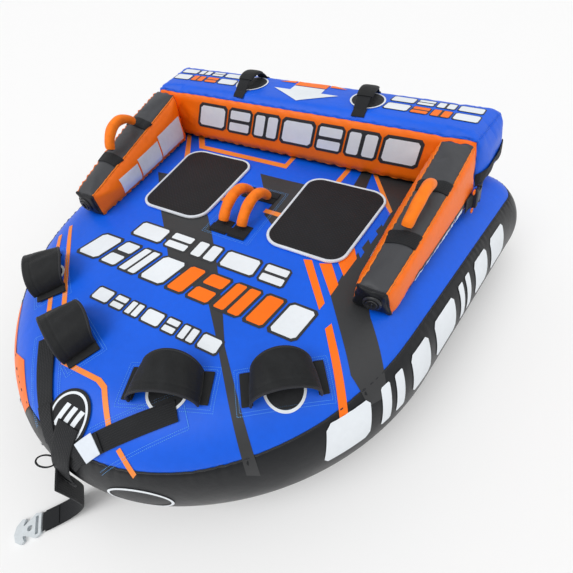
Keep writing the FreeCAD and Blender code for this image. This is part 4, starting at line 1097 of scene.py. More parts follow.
def build_backrest():
    """The backrest's cushion, lining and piping, the row of blocks in front, and an arrow on top."""
    size = (2 * BACK_HALF - 0.14, BACK_HIGH[1] - BACK_LOW[1], BACK_HIGH[2] - BACK_LOW[2])
    cells = (150, 30, 22)
    cushion = Cushion("backrest", backrest_corners(), size, cells, 0.030, 0.006,
                      ["blue", "blue", "orange", "blue", "black", "blue"],
                      (0.006, 0.010, 0.012), 0.008, PRESSURE,
                      BACK_LOW[2])
    fit(cushion.obj, "orange_nylon", "backrest", "backrest_cover", fill=CUSHION_FILL)
    cushion.lining("backrest_lining", "backrest_bladder", "backrest")

    trim = pipe_cushion(cushion, (1, 1, 0, 2))
    fit(trim.mesh("backrest_piping", [M["orange_piping"], M["blue_piping"], M["black_piping"]]),
        "orange_nylon", "backrest")

    prints = {kind: Build() for kind in ("orange", "white", "edge")}
    on_top = top_of(cushion)
    half = BACK_HALF - BACK_TAPER - BACK_LEAN / 2

    def on_front(x, z, lift):
        return cushion.at(2, 0.5 + x / (2 * half), (z - BACK_LOW[2]) / (BACK_HIGH[2] - BACK_LOW[2]), lift)[0]

    starts, widths = spread_blocks(-0.420, 0.445, 7, 0.026, 0.18)
    block_row(prints, on_front, starts, widths, 0.436, 0.512, 0.22, ["white"], 0.010)
    # the arrow on top: its tail and two marks beside it, then its shaft, and its head as two halves
    tail_left, tail_right = [(-0.066, 0.584), (-0.066, 0.640)], [(0.060, 0.584), (0.060, 0.640)]
    shaft_left, shaft_right = [(-0.064, 0.534), (-0.064, 0.578)], [(0.058, 0.534), (0.058, 0.578)]
    point = [(-0.003, 0.536), (-0.003, 0.451)]
    marks = (("orange", tail_left, tail_right),
             ("orange", [(-0.140, 0.606), (-0.074, 0.640)], [(-0.074, 0.606), (-0.073, 0.641)]),
             ("orange", [(0.068, 0.606), (0.067, 0.641)], [(0.134, 0.606), (0.068, 0.640)]),
             ("white", shaft_left, shaft_right),
             ("white", [(-0.130, 0.536), (-0.003, 0.452)], point),
             ("white", point, [(0.124, 0.536), (-0.003, 0.452)]))
    for kind, first, second in marks:
        add_print(prints[kind], on_top, first, second, LAYER["white"])
    for side in (1, -1):
        for low, high, first, last, colours in ((0.570, 0.612, 0.300, 0.590, ["white"]),
                                                (0.500, 0.548, 0.290, 0.580, ["white", "orange", "orange"])):
            starts, widths = spread_blocks(first, last, 4, 0.012)
            if side < 0:
                starts = -(starts + widths)
            block_row(prints, on_top, starts, widths, low, high, 0.18 * side, colours, 0.004)
    finish_prints(prints, "backrest_print_", "backrest")
    return cushion


ARM_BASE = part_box("armrest_cover_right")[0].z
ARM_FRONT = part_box("armrest_cover_right")[0].y
ARM_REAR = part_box("armrest_cover_right")[1].y
ARM_OUTER = BACK_HALF - BACK_TAPER - 0.012
ARM_BASE_WIDTH, ARM_TOP_WIDTH = 0.162, 0.100
ARM_REAR_HEIGHT, ARM_FRONT_HEIGHT = 0.190, 0.076
ARM_FRONT_WIDTH, ARM_FRONT_STEP = 0.100, 0.134
ARM_LEAN = (ARM_BASE_WIDTH - ARM_TOP_WIDTH) / ARM_REAR_HEIGHT
ARM_INNER = ARM_OUTER - ARM_BASE_WIDTH
ARM_FRONT_INNER = ARM_OUTER - ARM_FRONT_STEP - ARM_FRONT_WIDTH


def armrest_corners(side):
    """Corner places of an armrest, front to rear, inner to outer, base to top."""
    corner = np.zeros((2, 2, 2, 3))
    ends = ((ARM_FRONT, ARM_FRONT_INNER, ARM_FRONT_WIDTH, ARM_FRONT_HEIGHT),
            (ARM_REAR, ARM_INNER, ARM_BASE_WIDTH, ARM_REAR_HEIGHT))
    for i, (y, inner, width, height) in enumerate(ends):
        for k in (0, 1):
            outer = inner + width - (ARM_LEAN * height if k else -0.006)
            corner[i, 0, k] = (side * inner, y, ARM_BASE + k * height)
            corner[i, 1, k] = (side * outer, y, ARM_BASE + k * height)
    return corner


def build_armrest(side_name, side):
    """An armrest's cushion, lining and piping, its prints, and the bands that its grip is sewn to."""
    length = ARM_REAR - ARM_FRONT
    cushion = Cushion(f"armrest_{side_name}", armrest_corners(side), (length, 0.12, 0.14), (60, 16, 18),
                      0.014, 0.003, ["black", "orange", "orange", "orange", "black", "grey_cap"],
                      (0.006, 0.010, 0.007), 0.006, PRESSURE, ARM_BASE)
    fit(cushion.obj, "orange_nylon", "hull", f"armrest_cover_{side_name}", f"armrest_cap_{side_name}",
        fill=CUSHION_FILL)
    cushion.lining(f"armrest_lining_{side_name}", f"armrest_bladder_{side_name}", "hull")

    trim = pipe_cushion(cushion, (0, 0, 0, 0))
    fit(trim.mesh(f"armrest_piping_{side_name}", [M["orange_piping"], M["black_piping"]]),
        "orange_nylon", "hull")

    prints = {kind: Build() for kind in ("white", "grey", "label")}
    inner_panel, outer_panel, panel_height = 2, 3, 0.14

    def on_outer(u, v, lift):
        return cushion.at(outer_panel, u / length, v / panel_height, lift)[0]

    def on_inner(u, v, lift):
        return cushion.at(inner_panel, u / length, v / panel_height, lift)[0]

    # a dark panel low on the outer side, with a row of blocks
    add_print(prints["grey"], on_outer, [(0.090, 0.010), (0.545, 0.010)], [(0.115, 0.058), (0.500, 0.052)],
              LAYER["grey"])
    for start, width in zip(*spread_blocks(0.125, 0.430, 6, 0.010)):
        block = slanted(start, start + width, 0.018, 0.048, -0.3)
        add_print(prints["white"], on_outer, *block, LAYER["white"])
    # three blank labels on the inner side
    for start, end in ((0.118, 0.218), (0.226, 0.352), (0.360, 0.520)):
        add_print(prints["label"], on_inner, [(start, 0.024), (end, 0.020)], [(start, 0.098), (end, 0.088)],
                  LAYER["label"])
    finish_prints(prints, "armrest_print_", "hull", f"_{side_name}")

    # webbing bands across the top each side of the grip
    bands = Build()
    centre, half_span = 0.46, 0.150 / 2 / 0.57
    share = np.linspace(0.02, 0.98, 40)
    for way in (1, -1):
        u = np.full_like(share, centre + way * (half_span + 0.040))
        points, normals = cushion.at(5, u, share, 0.0022)
        add_strap(bands, points, normals, WEBBING, 0.0024, sides=16)
    fit(bands.mesh(f"armrest_bands_{side_name}", M["webbing"]),
        "black_webbing", "hull", f"armrest_tabs_{side_name}")


# ---------------------------------------------------------------- grips and handles
def arc(span, rise, count):
    """Angles along a circle's arc that spans a gap with a rise, and the circle's radius."""
    bend = (span ** 2 / 4 + rise ** 2) / (2 * rise)
    half = math.asin(span / 2 / bend)
    return np.linspace(-half, half, count), half, bend


def deck_strap(build, line, lift, width, thick, **shape):
    """A strap laid on deck along a line in plan."""
    points, normals = deck_point(line[:, 0], line[:, 1], np.full(len(line), lift))
    add_strap(build, points, normals, width, thick, **shape)


def deck_stitches(build, line, closed=False):
    points, normals = deck_point(line[:, 0], line[:, 1], np.full(len(line), LAYER["thread"]))
    add_stitches(build, points, normals, closed=closed)


def arched_grip(name, place, span, rise, radius, node):
    """Foam tube bent to an arc: its centre line is a circle through both ends and the top, and its
    section is slightly flat and pinched at the ends, where webbing comes out."""
    turn, half, bend = arc(span, rise, 60)
    local = np.stack([bend * np.sin(turn), 0 * turn, bend * np.cos(turn) + rise - bend], -1)
    out = np.stack([np.sin(turn), 0 * turn, np.cos(turn)], -1)
    path = to_world(place, local)
    normal = turned(place, out)
    edge = np.minimum(turn + half, half - turn) * bend
    girth = 1 - 0.16 * np.exp(-edge / 0.006) - 0.03 * np.cos(turn / half * math.pi * 3)
    build = Build()
    add_strap(build, path, normal, 2 * radius * girth, 2 * radius * girth * 0.94, sides=32, power=2.3)
    fit(build.mesh(name, M["foam"]), "orange_foam", node, node)
    # the webbing inside, showing from each end down to what it is sewn to
    core = Build()
    run = np.linspace(0, 1, 10)[:, None]
    for at, inner in ((0, 1), (-1, -2)):
        tangent = unit(path[at] - path[inner])
        line = path[at] - tangent * 0.006 * (1 - run) + tangent * 0.0035 * run
        add_strap(core, line, same(normal[at], len(run)), radius * 1.5, 0.004, sides=12)
    fit(core.mesh(name + "_core", M["webbing"]), "black_webbing", node)


def build_grips():
    """The two centre grips, one on each armrest, and the webbing that holds the centre ones."""
    for side_name in SIDES:
        for spot, span, rise, radius in (("centre", 0.168, 0.048, 0.0165), ("armrest", 0.150, 0.040, 0.015)):
            node = f"{spot}_grip_{side_name}"
            joint = next(j for j in frame["joints"] if j["name"] == f"{node}_swing")
            place = axes(np.array(joint["pos_m"]), joint["axis"], (-1, 0, 0))
            arched_grip(f"{spot}_foam_{side_name}", place, span, rise, radius, node)

    low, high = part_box("centre_handle_tabs")
    tabs = Build()
    for y0, y1 in ((low.y, low.y + 0.062), (high.y - 0.062, high.y)):
        y = np.linspace(y0, y1, 24)
        for x in (-0.033, 0.033):
            deck_strap(tabs, np.stack([np.full_like(y, x), y], -1), 0.0022, 0.060, 0.0026)
    x = np.linspace(-0.064, 0.064, 30)
    for y in (low.y + 0.020, high.y - 0.020):
        deck_strap(tabs, np.stack([x, np.full_like(x, y)], -1), 0.0045, 0.030, 0.0022)
    fit(tabs.mesh("centre_handle_webbing", M["webbing"]), "black_webbing", "hull", "centre_handle_tabs")


def guard_frames():
    """Frames of the four guarded handles: X along the handle, Z up, origin on deck under the grip."""
    frames = {}
    for spot, turn in (("inner", math.radians(21.5)), ("outer", math.radians(35))):
        for side_name, side in SIDES.items():
            low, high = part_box(f"guard_grip_{spot}_{side_name}")
            origin = np.array([(low.x + high.x) / 2, (low.y + high.y) / 2, DECK])
            frames[f"{spot}_{side_name}"] = axes(origin, (math.cos(turn), side * math.sin(turn), 0),
                                                 (-side * math.sin(turn), math.cos(turn), 0))
    return frames


GUARD_HALF, GUARD_RISE, GUARD_DEPTH = 0.074, 0.058, 0.064


def guard_sheet(depth, turn, lift=0.0):
    """Arch over the knuckles in its frame: a superellipse across, whose rear edge bows out in plan
    and droops a little, with a crease along the hem at its mouth."""
    mouth = np.exp(-((depth - 0.22) / 0.025) ** 2)
    bow = np.sin(turn) ** 1.5
    out = 1 - 0.05 * depth ** 2 + lift / GUARD_RISE - 0.012 * mouth
    folds = 0.0010 * np.sin(turn * 11 + 3 * depth) * np.sin(turn) * np.sin(depth * math.pi)
    x = -GUARD_HALF * np.cos(turn) * out * (1 - 0.05 * depth ** 2)
    y = GUARD_DEPTH * (depth - 0.5) + 0.022 * bow * depth ** 1.5 - 0.006 * (1 - bow) * (1 - depth)
    z = 0.0046 + GUARD_RISE * np.sin(turn) ** 0.78 * out + folds
    return np.stack([x, y, z], -1)


def build_guards():
    """Neoprene arch over each grip, its bound edges, the folded ears it is sewn down by, and the grip."""
    for name, place in guard_frames().items():
        depth, turn = np.meshgrid(np.linspace(0, 1, 33), np.linspace(0, math.pi, 71), indexing="xy")
        build = Build()
        build.grid(to_world(place, guard_sheet(depth, turn)), flip=True)
        obj = build.mesh(f"guard_{name}", M["neoprene"])
        sheet = obj.modifiers.new("sheet", "SOLIDIFY")
        sheet.thickness = 0.0034
        sheet.offset = -1
        fit(obj, "neoprene", "hull", f"knuckle_guard_{name}")

        edges = Build()
        round_ = np.linspace(0.0, math.pi, 80)
        for at in (0.0, 1.0):
            line = guard_sheet(np.full_like(round_, at), round_, -0.0016)
            out = line * np.array([1, 0, 1.0]) + np.array([0, 0, 0.001])
            add_strap(edges, to_world(place, line), turned(place, out), 0.0060, 0.0056, sides=10, power=2.4)
        for way in (-1, 1):
            foot = to_world(place, np.array([way * 0.079, 0.0, 0.0]))
            _, up = deck_point(foot[0], foot[1])
            ear = axes(foot + up * 0.003, place[1] - up * (place[1] @ up), place[2] - up * (place[2] @ up))
            add_soft_box(edges, ear, (-0.012, -0.036, -0.0022), (0.012, 0.034, 0.0030), 0.0022, 1)
        fit(edges.mesh(f"guard_binding_{name}", [M["black_piping"], M["neoprene"]]), "neoprene", "hull")

        grip = Build()
        low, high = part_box(f"guard_grip_{name}")
        along = np.linspace(-0.046, 0.046, 40)
        line = to_world(place, np.stack([along, 0 * along, 0 * along + (low.z + high.z) / 2 - DECK], -1))
        end = np.minimum(along + 0.046, 0.046 - along)
        girth = 0.024 * (1 - 0.15 * np.exp(-end / 0.004))
        add_strap(grip, line, same(UP, len(line)), girth, girth, sides=24, power=2.2)
        fit(grip.mesh(f"guard_foam_{name}", M["dark_foam"]), "orange_foam", "hull", f"guard_grip_{name}")


def ring_print(build, centre, radius, width, lift, surface=on_deck, sides=64, stretch=1.0):
    turn = np.linspace(0, 2 * math.pi, sides + 1)
    outer = np.stack([centre[0] + radius * np.cos(turn), centre[1] + radius * stretch * np.sin(turn)], -1)
    inner_r = radius - width
    inner = np.stack([centre[0] + inner_r * np.cos(turn),
                      centre[1] + (radius * stretch - width) * np.sin(turn)], -1)
    add_print(build, surface, outer, inner, lift)


def disc(build, centre, radius, lift, surface=on_deck, sides=64, stretch=1.0):
    turn = np.linspace(0, 2 * math.pi, sides + 1)
    share = np.linspace(1, 0.02, 12)
    x = centre[0] + radius * share[:, None] * np.cos(turn)[None]
    y = centre[1] + radius * stretch * share[:, None] * np.sin(turn)[None]
    points = surface(x, y, lift)
    build.grid(points, flip=False)


def box_line(place, half_x, half_y, shift_y=0.0, step=0.004):
    """A rectangle's outline in plan, in a frame, as evenly spaced places."""
    corner = np.array([(-half_x, -half_y), (half_x, -half_y), (half_x, half_y), (-half_x, half_y)])
    line = evenly(np.concatenate([corner + (0, shift_y), np.zeros((4, 1))], 1), step, closed=True)
    return to_world(place, line)


def build_patches_and_stitches():
    """Round dark patches with a white ring under each guard, and pale threads sewn round each."""
    dark, rings, threads = Build(), Build(), Build()
    for name, place in guard_frames().items():
        centre = to_world(place, np.array([0.0, -0.010, 0.0]))
        disc(dark, centre, 0.041, 0.0014)
        ring_print(rings, centre, 0.046, 0.0058, 0.0017)
        for grow in (0.0, 0.006):
            deck_stitches(threads, box_line(place, 0.096 + grow, 0.041 + grow, -0.002), closed=True)
    straight = axes((0.002, 0.062, DECK), (1, 0, 0), (0, 1, 0))
    for grow in (0.0, 0.006):
        deck_stitches(threads, box_line(straight, 0.077 + grow, 0.134 + grow), closed=True)
    for side in (1, -1):
        start, end = np.array([side * 0.193, -0.543]), np.array([side * 0.070, -0.672])
        along = unit(end - start)
        square = np.array([-along[1], along[0]])
        across, back = square * 0.036, start - along * 0.016
        line = evenly(np.array([end + across, back + across, back - across, end - across]), 0.004)
        for grow in (0.0, 0.005):
            deck_stitches(threads, line + square * grow)
    fit(dark.mesh("guard_discs", M["patch"]), "neoprene", "hull", "guard_patches")
    for build, name, material, slot in ((rings, "guard_rings", "print_white", "white_binding"),
                                        (threads, "deck_stitching", "thread", "white_binding")):
        fit(build.mesh(name, M[material]), slot, "hull")


# ---------------------------------------------------------------- seats
def seat_outline(side, grow=0.0, corner=0.052, step=0.004):
    """A seat's plan: four straight sides with round corners, from the CAD corners."""
    low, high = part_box("seat_pad_right")
    rear, front = high.y, low.y
    base = [(0.126, rear), (0.116, front), (0.355, front), (0.407, rear)]
    points = []
    corners = [np.array((side * x, y)) for x, y in base]
    middle = np.mean(corners, axis=0)
    for k in range(4):
        here, before, after = corners[k], corners[k - 1], corners[(k + 1) % 4]
        a, b = unit(before - here), unit(after - here)
        half = math.acos(float(np.clip(a @ b, -1, 1))) / 2
        inward = unit(a + b)
        centre = here + inward * corner / math.sin(half)
        start = math.atan2(*(here + a * corner / math.tan(half) - centre)[::-1])
        end = math.atan2(*(here + b * corner / math.tan(half) - centre)[::-1])
        sweep_angle = (end - start + math.pi) % (2 * math.pi) - math.pi
        turn = start + np.linspace(0, 1, 16) * sweep_angle
        points.append(centre + (corner + grow) * np.stack([np.cos(turn), np.sin(turn)], -1))
    line = evenly(np.concatenate(points), step, closed=True)
    return line, middle


def build_seats():
    """Two foam pads with a slight crown, each in its white edging."""
    for side_name, side in SIDES.items():
        line, middle = seat_outline(side)
        share = np.concatenate([[1.0, 1.0, 0.996, 0.988, 0.975, 0.95], np.linspace(0.92, 0.0, 34)])
        tall = np.concatenate([[0.0005, 0.005, 0.0072, 0.0084, 0.0090, 0.0092], np.full(34, 0.0093)])
        plan = middle + (line - middle)[None] * share[:, None, None]
        tall = tall + 0.0012 * (1 - share ** 2)
        x, y = plan[..., 0], plan[..., 1]
        z = deck_height(x, y) + tall[:, None]
        build = Build()
        build.grid(np.stack([x, y, z], -1), wrap_cols=True, flip=side < 0)
        rim_x, rim_y = plan[0, :, 0], plan[0, :, 1]
        bottom = np.stack([rim_x, rim_y, deck_height(rim_x, rim_y) + 0.0004], -1)
        build.cap(bottom, flip=side > 0)
        fit(build.mesh(f"seat_{side_name}", M["pad"], weld=1e-5), "eva_foam", "hull",
            f"seat_pad_{side_name}", fill=PAD_FILL)

        edge, _ = seat_outline(side, grow=0.0025)
        build = Build()
        deck_strap(build, edge, 0.0052, 0.0095, 0.0090, sides=14, power=2.6, closed=True)
        fit(build.mesh(f"seat_edge_{side_name}", M["binding"]),
            "white_binding", "hull", f"seat_binding_{side_name}")


# ---------------------------------------------------------------- harness, badge, leader, hook
def build_harness():
    """Two straps from the deck to the nose, down its rounding, and the folded loop between them."""
    for side_name, side in SIDES.items():
        end = np.array([side * 0.193, -0.543])
        tip = np.array([side * 0.016, -0.716])
        flat = evenly(np.array([end, tip]), 0.004)
        build = Build()
        deck_strap(build, flat, 0.0022, WEBBING, 0.0028)
        # a second layer near the nose
        deck_strap(build, flat[len(flat) // 2 + 8:-6], 0.0048, WEBBING - 0.004, 0.0024)
        fit(build.mesh(f"harness_{side_name}", M["webbing"]),
            "black_webbing", "hull", f"harness_strap_{side_name}")

    # the blank white label wrapped round the right-hand strap's end
    label = Build()
    deck_strap(label, evenly([(0.075, -0.656), (0.050, -0.684)], 0.003), 0.0068, WEBBING + 0.002, 0.0012)
    fit(label.mesh("harness_label", M["label"]), "white_binding", "hull")

    # the loop: a flat band that comes off the nose, stands out and folds back under itself
    loop = Build()
    centre_y = -HALF_LENGTH
    angle = np.radians(np.linspace(58, 14, 26))
    out = ROUND + 0.0045 + 0.006 * smoothstep(0.0, 1.0, np.linspace(0, 1, 26))
    path = np.stack([0 * angle, centre_y + ROUND - out * np.cos(angle),
                     DECK - ROUND + out * np.sin(angle)], -1)
    normals = np.stack([0 * angle, -np.cos(angle), np.sin(angle)], -1)
    add_strap(loop, path, normals, np.linspace(0.060, 0.050, 26), 0.0034)
    tail = evenly(path[-1] + np.array([(0, 0, 0), (0, -0.004, -0.012), (-0.003, -0.006, -0.022)]), 0.003)
    add_strap(loop, tail, same((0, -1.0, 0.15), len(tail)), 0.049, 0.0070)
    fit(loop.mesh("nose_loop", M["webbing"]), "black_webbing", "hull", "tow_loop")

    # a thin black cord tied in a small ring beside the loop
    cord_ring = Build()
    turn = np.linspace(0, 2 * math.pi, 60)[:-1]
    centre = np.array([-0.040, -0.727, 0.262])
    ring = centre + np.stack([0.020 * np.cos(turn), -0.010 - 0.010 * np.sin(turn), 0.012 * np.sin(turn)], -1)
    add_strap(cord_ring, ring, ring - centre, 0.0035, 0.0035, sides=8, power=2.0, closed=True)
    fit(cord_ring.mesh("keeper_cord", M["webbing"]), "black_webbing", "hull")


def build_badge():
    """Dark disc with a white ring and three leaning bars."""
    centre = (-0.012, -0.648)
    dark, white = Build(), Build()
    disc(dark, centre, 0.053, 0.0030)
    ring_print(dark, centre, 0.053, 0.004, 0.0028)
    ring_print(white, centre, 0.047, 0.005, 0.0034)
    for x in (-0.024, -0.004, 0.016):
        middle = centre[0] + x
        first, second = slanted(middle - 0.006, middle + 0.006, centre[1] - 0.022, centre[1] + 0.022, 0.3)
        add_print(white, on_deck, first, second, 0.0034)
    fit(dark.mesh("nose_disc", M["patch"]), "badge_vinyl", "hull", "nose_badge")
    fit(white.mesh("nose_disc_print", M["print_white"]), "white_binding", "hull")


LEADER_START = np.array([0.0, -HALF_LENGTH - 0.011, 0.0])
LEADER_HEADING = math.radians(40)
# each point's distance ahead of the start, and its height
LEADER_ROUTE = [(0, 0.252), (0.037, 0.078), (0.0575, 0.044), (0.0885, 0.0192), (0.1255, 0.006),
                (0.166, 0.006)]
LEADER_LENGTH, LEADER_WIDTH, LEADER_THICK = 0.336, 0.048, 0.004


def spline_points(points):
    """Points along a smooth NURBS line of order 3 that has these control points and ends on them."""
    data = bpy.data.curves.new("route", "CURVE")
    data.dimensions = "3D"
    spline = data.splines.new("NURBS")
    spline.points.add(len(points) - 1)
    spline.points.foreach_set("co", np.concatenate([points, np.ones((len(points), 1))], 1).ravel())
    spline.order_u = 3
    spline.use_endpoint_u = True
    spline.resolution_u = 16
    obj = place_object("route", data)
    mesh = bpy.data.meshes.new_from_object(obj)
    line = np.zeros(len(mesh.vertices) * 3)
    mesh.vertices.foreach_get("co", line)
    bpy.data.objects.remove(obj)
    bpy.data.curves.remove(data)
    bpy.data.meshes.remove(mesh)
    return line.reshape(-1, 3)


def build_leader():
    heading = np.array([-math.sin(LEADER_HEADING), -math.cos(LEADER_HEADING), 0])
    control = np.array([LEADER_START + heading * out + (0, 0, height) for out, height in LEADER_ROUTE])
    path = spline_points(control)
    side = np.cross(heading, (0, 0, 1))
    along = unit(np.gradient(path, axis=0))
    normals = np.cross(same(side, len(path)), along)
    build = Build()
    add_strap(build, path, normals, LEADER_WIDTH, LEADER_THICK, sides=20)
    leader = build.mesh("leader_strap", M["webbing"])
    fit(leader, "black_webbing", "hull", "tow_leader")

    hook = frame["nodes"]["tow_hook"]
    paint(hook, "white_plastic")
    # the webbing's end through the hook's slot, folded back
    eye = Build()
    start = path[-1]
    fold = [start - heading * 0.034 + (0, 0, 0.0042), start - heading * 0.010 + (0, 0, 0.0044),
            start + heading * 0.005 + (0, 0, 0.0040)]
    line = evenly(np.array(fold), 0.003)
    add_strap(eye, line, same(UP, len(line)), LEADER_WIDTH - 0.006, 0.0026)
    eye_obj = eye.mesh("leader_fold", M["webbing"])
    fit(eye_obj, "black_webbing", "hull")


def paint(obj, material):
    """Gives a CAD node its finish."""
    obj.data.materials.clear()
    obj.data.materials.append(M[material])


# ---------------------------------------------------------------- buckles, straps, valves, zip
def buckle_frame(side):
    """Joint between armrest and backrest: X rearwards, Y up the lean, Z outwards."""
    height = 0.052
    lean = BACK_LEAN / (BACK_HIGH[2] - BACK_LOW[2])
    half = BACK_HALF - BACK_TAPER - lean * (height - 0.002)
    along = unit(np.array([side * BACK_TAPER, BACK_HIGH[1] - BACK_LOW[1], 0]))
    upward = unit(np.array([-side * lean, 0, 1.0]))
    out = unit(np.cross(along, upward) * side)
    return np.array([side * half, BACK_LOW[1], DECK + height]), along, np.cross(out, along), out


def build_buckles(backrest):
    for side_name, side in SIDES.items():
        place = buckle_frame(side)
        low = 0.005
        mouth, long, wide, thick = -0.028, 0.046, 0.056, 0.013
        socket = Build()
        edge, top, inner = wide / 2, low + thick, wide / 2 - 0.008
        # each soft box is its x, y and z from and to, and its rounding
        boxes = [(mouth - 0.034, mouth, -inner, inner, top - 0.0026, top, 0.0012),
                 (mouth - 0.034, mouth, -inner, inner, low, low + 0.0022, 0.0010),
                 (mouth - long, mouth - long + 0.005, -edge, edge, low, top, 0.002)]
        # the shell's edges with windows in them, and the bars across it
        for y0, y1 in ((-edge, -edge + 0.004), (edge - 0.004, edge)):
            boxes += [(mouth - long, mouth - 0.026, y0, y1, low, top, 0.0018),
                      (mouth - 0.008, mouth, y0, y1, low, top, 0.0018)]
        for x0 in (mouth - long, mouth - 0.036, mouth - 0.0035):
            boxes += [(x0, x0 + 0.0035, -edge, edge, top - 0.0034, top, 0.0014),
                      (x0, x0 + 0.0035, -edge, edge, low, low + 0.0026, 0.0012)]
        add_soft_boxes(socket, place, boxes)
        fit(socket.mesh(f"socket_{side_name}", M["plastic"]),
            "black_plastic", "hull", f"buckle_socket_{side_name}")

        latch = Build()
        half = 0.0254
        boxes = [(mouth - 0.026, mouth + 0.002, -0.003, 0.003, low + 0.0040, low + 0.009, 0.0014),
                 (mouth + 0.0008, mouth + 0.007, -half, half, low + 0.003, low + 0.0105, 0.0018)]
        # two prongs, two bars for the webbing and the sides that join them
        boxes += [(mouth - 0.0325, mouth + 0.002, y0, y0 + 0.0094, low + 0.0036, low + 0.0094, 0.0016)
                  for y0 in (-0.0249, 0.0155)]
        boxes += [(x0, x0 + 0.0032, -half, half, low + 0.0042, low + 0.0092, 0.0014)
                  for x0 in (mouth + 0.0115, mouth + 0.0165)]
        boxes += [(mouth + 0.004, mouth + 0.0197, y0, y0 + 0.0032, low + 0.003, low + 0.0100, 0.0013)
                  for y0 in (-half, half - 0.0032)]
        add_soft_boxes(latch, place, boxes)
        fit(latch.mesh(f"latch_{side_name}", M["plastic"]),
            "black_plastic", f"buckle_latch_{side_name}", f"buckle_latch_{side_name}")

        # webbing from the armrest into the socket, and from the backrest's end up to the latch
        strap = Build()
        x = np.linspace(mouth - long - 0.048, mouth - long + 0.004, 24)
        rise = 0.0022 + 0.005 * smoothstep(mouth - long - 0.030, mouth - long, x)
        line = to_world(place, np.stack([x, 0 * x, rise], -1))
        add_strap(strap, line, same(place[3], len(line)), WEBBING, 0.0026)
        fit(strap.mesh(f"armrest_webbing_{side_name}", M["webbing"]),
            "black_webbing", "hull", f"armrest_strap_{side_name}")

        strap = Build()
        end = 1 if side > 0 else 0
        share = np.linspace(0.03, 0.86, 60)
        v = 0.30 + 0.16 * share
        points, normals = backrest.at(end, share, v, 0.0028)
        add_strap(strap, points, normals, WEBBING, 0.0026)
        fit(strap.mesh(f"backrest_webbing_{side_name}", M["webbing"]),
            "black_webbing", "backrest", f"backrest_strap_{side_name}")

        # the webbing's loop round the latch's bar
        loop = Build()
        x = np.linspace(mouth + 0.0135, mouth + 0.0270, 12)
        line = to_world(place, np.stack([x, 0 * x, np.linspace(0.0132, 0.0098, 12)], -1))
        add_strap(loop, line, same(place[3], len(line)), WEBBING, 0.0024)
        fit(loop.mesh(f"latch_webbing_{side_name}", M["webbing"]),
            "black_webbing", f"buckle_latch_{side_name}")

        # orange cord loops that help to open the buckle
        pull = Build()
        turn = np.linspace(0.2, 2 * math.pi - 0.2, 40)
        for way in (1, -1):
            local = np.stack([mouth - long - 0.004 - 0.012 * (1 - np.cos(turn)) * 0.6,
                              way * 0.030 + 0.006 * np.sin(turn), low + 0.006 + 0 * turn], -1)
            add_strap(pull, to_world(place, local), same(place[3], len(local)), 0.004, 0.004, sides=8,
                      power=2.0)
        fit(pull.mesh(f"pull_cord_{side_name}", M["orange_cord"]), "orange_foam", "hull")


def build_strap_handles(backrest):
    """Webbing arches on the backrest's top over round patches with a white ring."""
    dark, rings = Build(), Build()
    on_top = top_of(backrest)
    middle = (BACK_LOW[1] + BACK_HIGH[1]) / 2
    for side_name, side in SIDES.items():
        centre = (side * 0.228, middle)
        disc(dark, centre, 0.054, 0.0018, on_top, stretch=1.25)
        ring_print(rings, centre, 0.060, 0.0062, 0.0022, on_top, stretch=1.22)
        span, rise = 0.170, 0.034
        turn, _, bend = arc(span, rise, 50)
        foot = on_top(np.full(2, side * 0.228), np.array([middle - span / 2, middle + span / 2]), 0.003)[:, 2]
        run = middle + bend * np.sin(turn)
        top = np.interp(run, (middle - span / 2, middle + span / 2), foot)
        path = np.stack([0 * turn + side * 0.228, run, top + rise - bend + bend * np.cos(turn)], -1)
        normals = np.stack([0 * turn, np.sin(turn), np.cos(turn)], -1)
        build = Build()
        add_strap(build, path, normals, WEBBING, 0.0032)
        # a padded sleeve round the middle of the arch
        sleeve = slice(12, 38)
        bulge = 0.006 * np.sin(np.linspace(0, math.pi, 26)) ** 0.5
        add_strap(build, path[sleeve], normals[sleeve], WEBBING + 0.008 + bulge, 0.008 + bulge, 1, 24, 3.0)
        # sewn ends that run on over the cushion
        for first, last in ((middle - 0.082, BACK_LOW[1] + 0.020), (middle + 0.082, BACK_HIGH[1] - 0.022)):
            y = np.linspace(first, last, 14)
            x = np.full_like(y, side * 0.228)
            points = on_top(x, y, np.full_like(y, 0.0030))
            add_strap(build, points, same(UP, len(points)), WEBBING, 0.0028)
        fit(build.mesh(f"backrest_strap_handle_{side_name}", [M["webbing"], M["neoprene"]]),
            "black_webbing", "backrest", f"backrest_handle_{side_name}")
    fit(dark.mesh("backrest_discs", M["patch"]), "neoprene", "backrest", "backrest_patches")
    fit(rings.mesh("backrest_rings", M["print_white"]), "white_binding", "backrest")


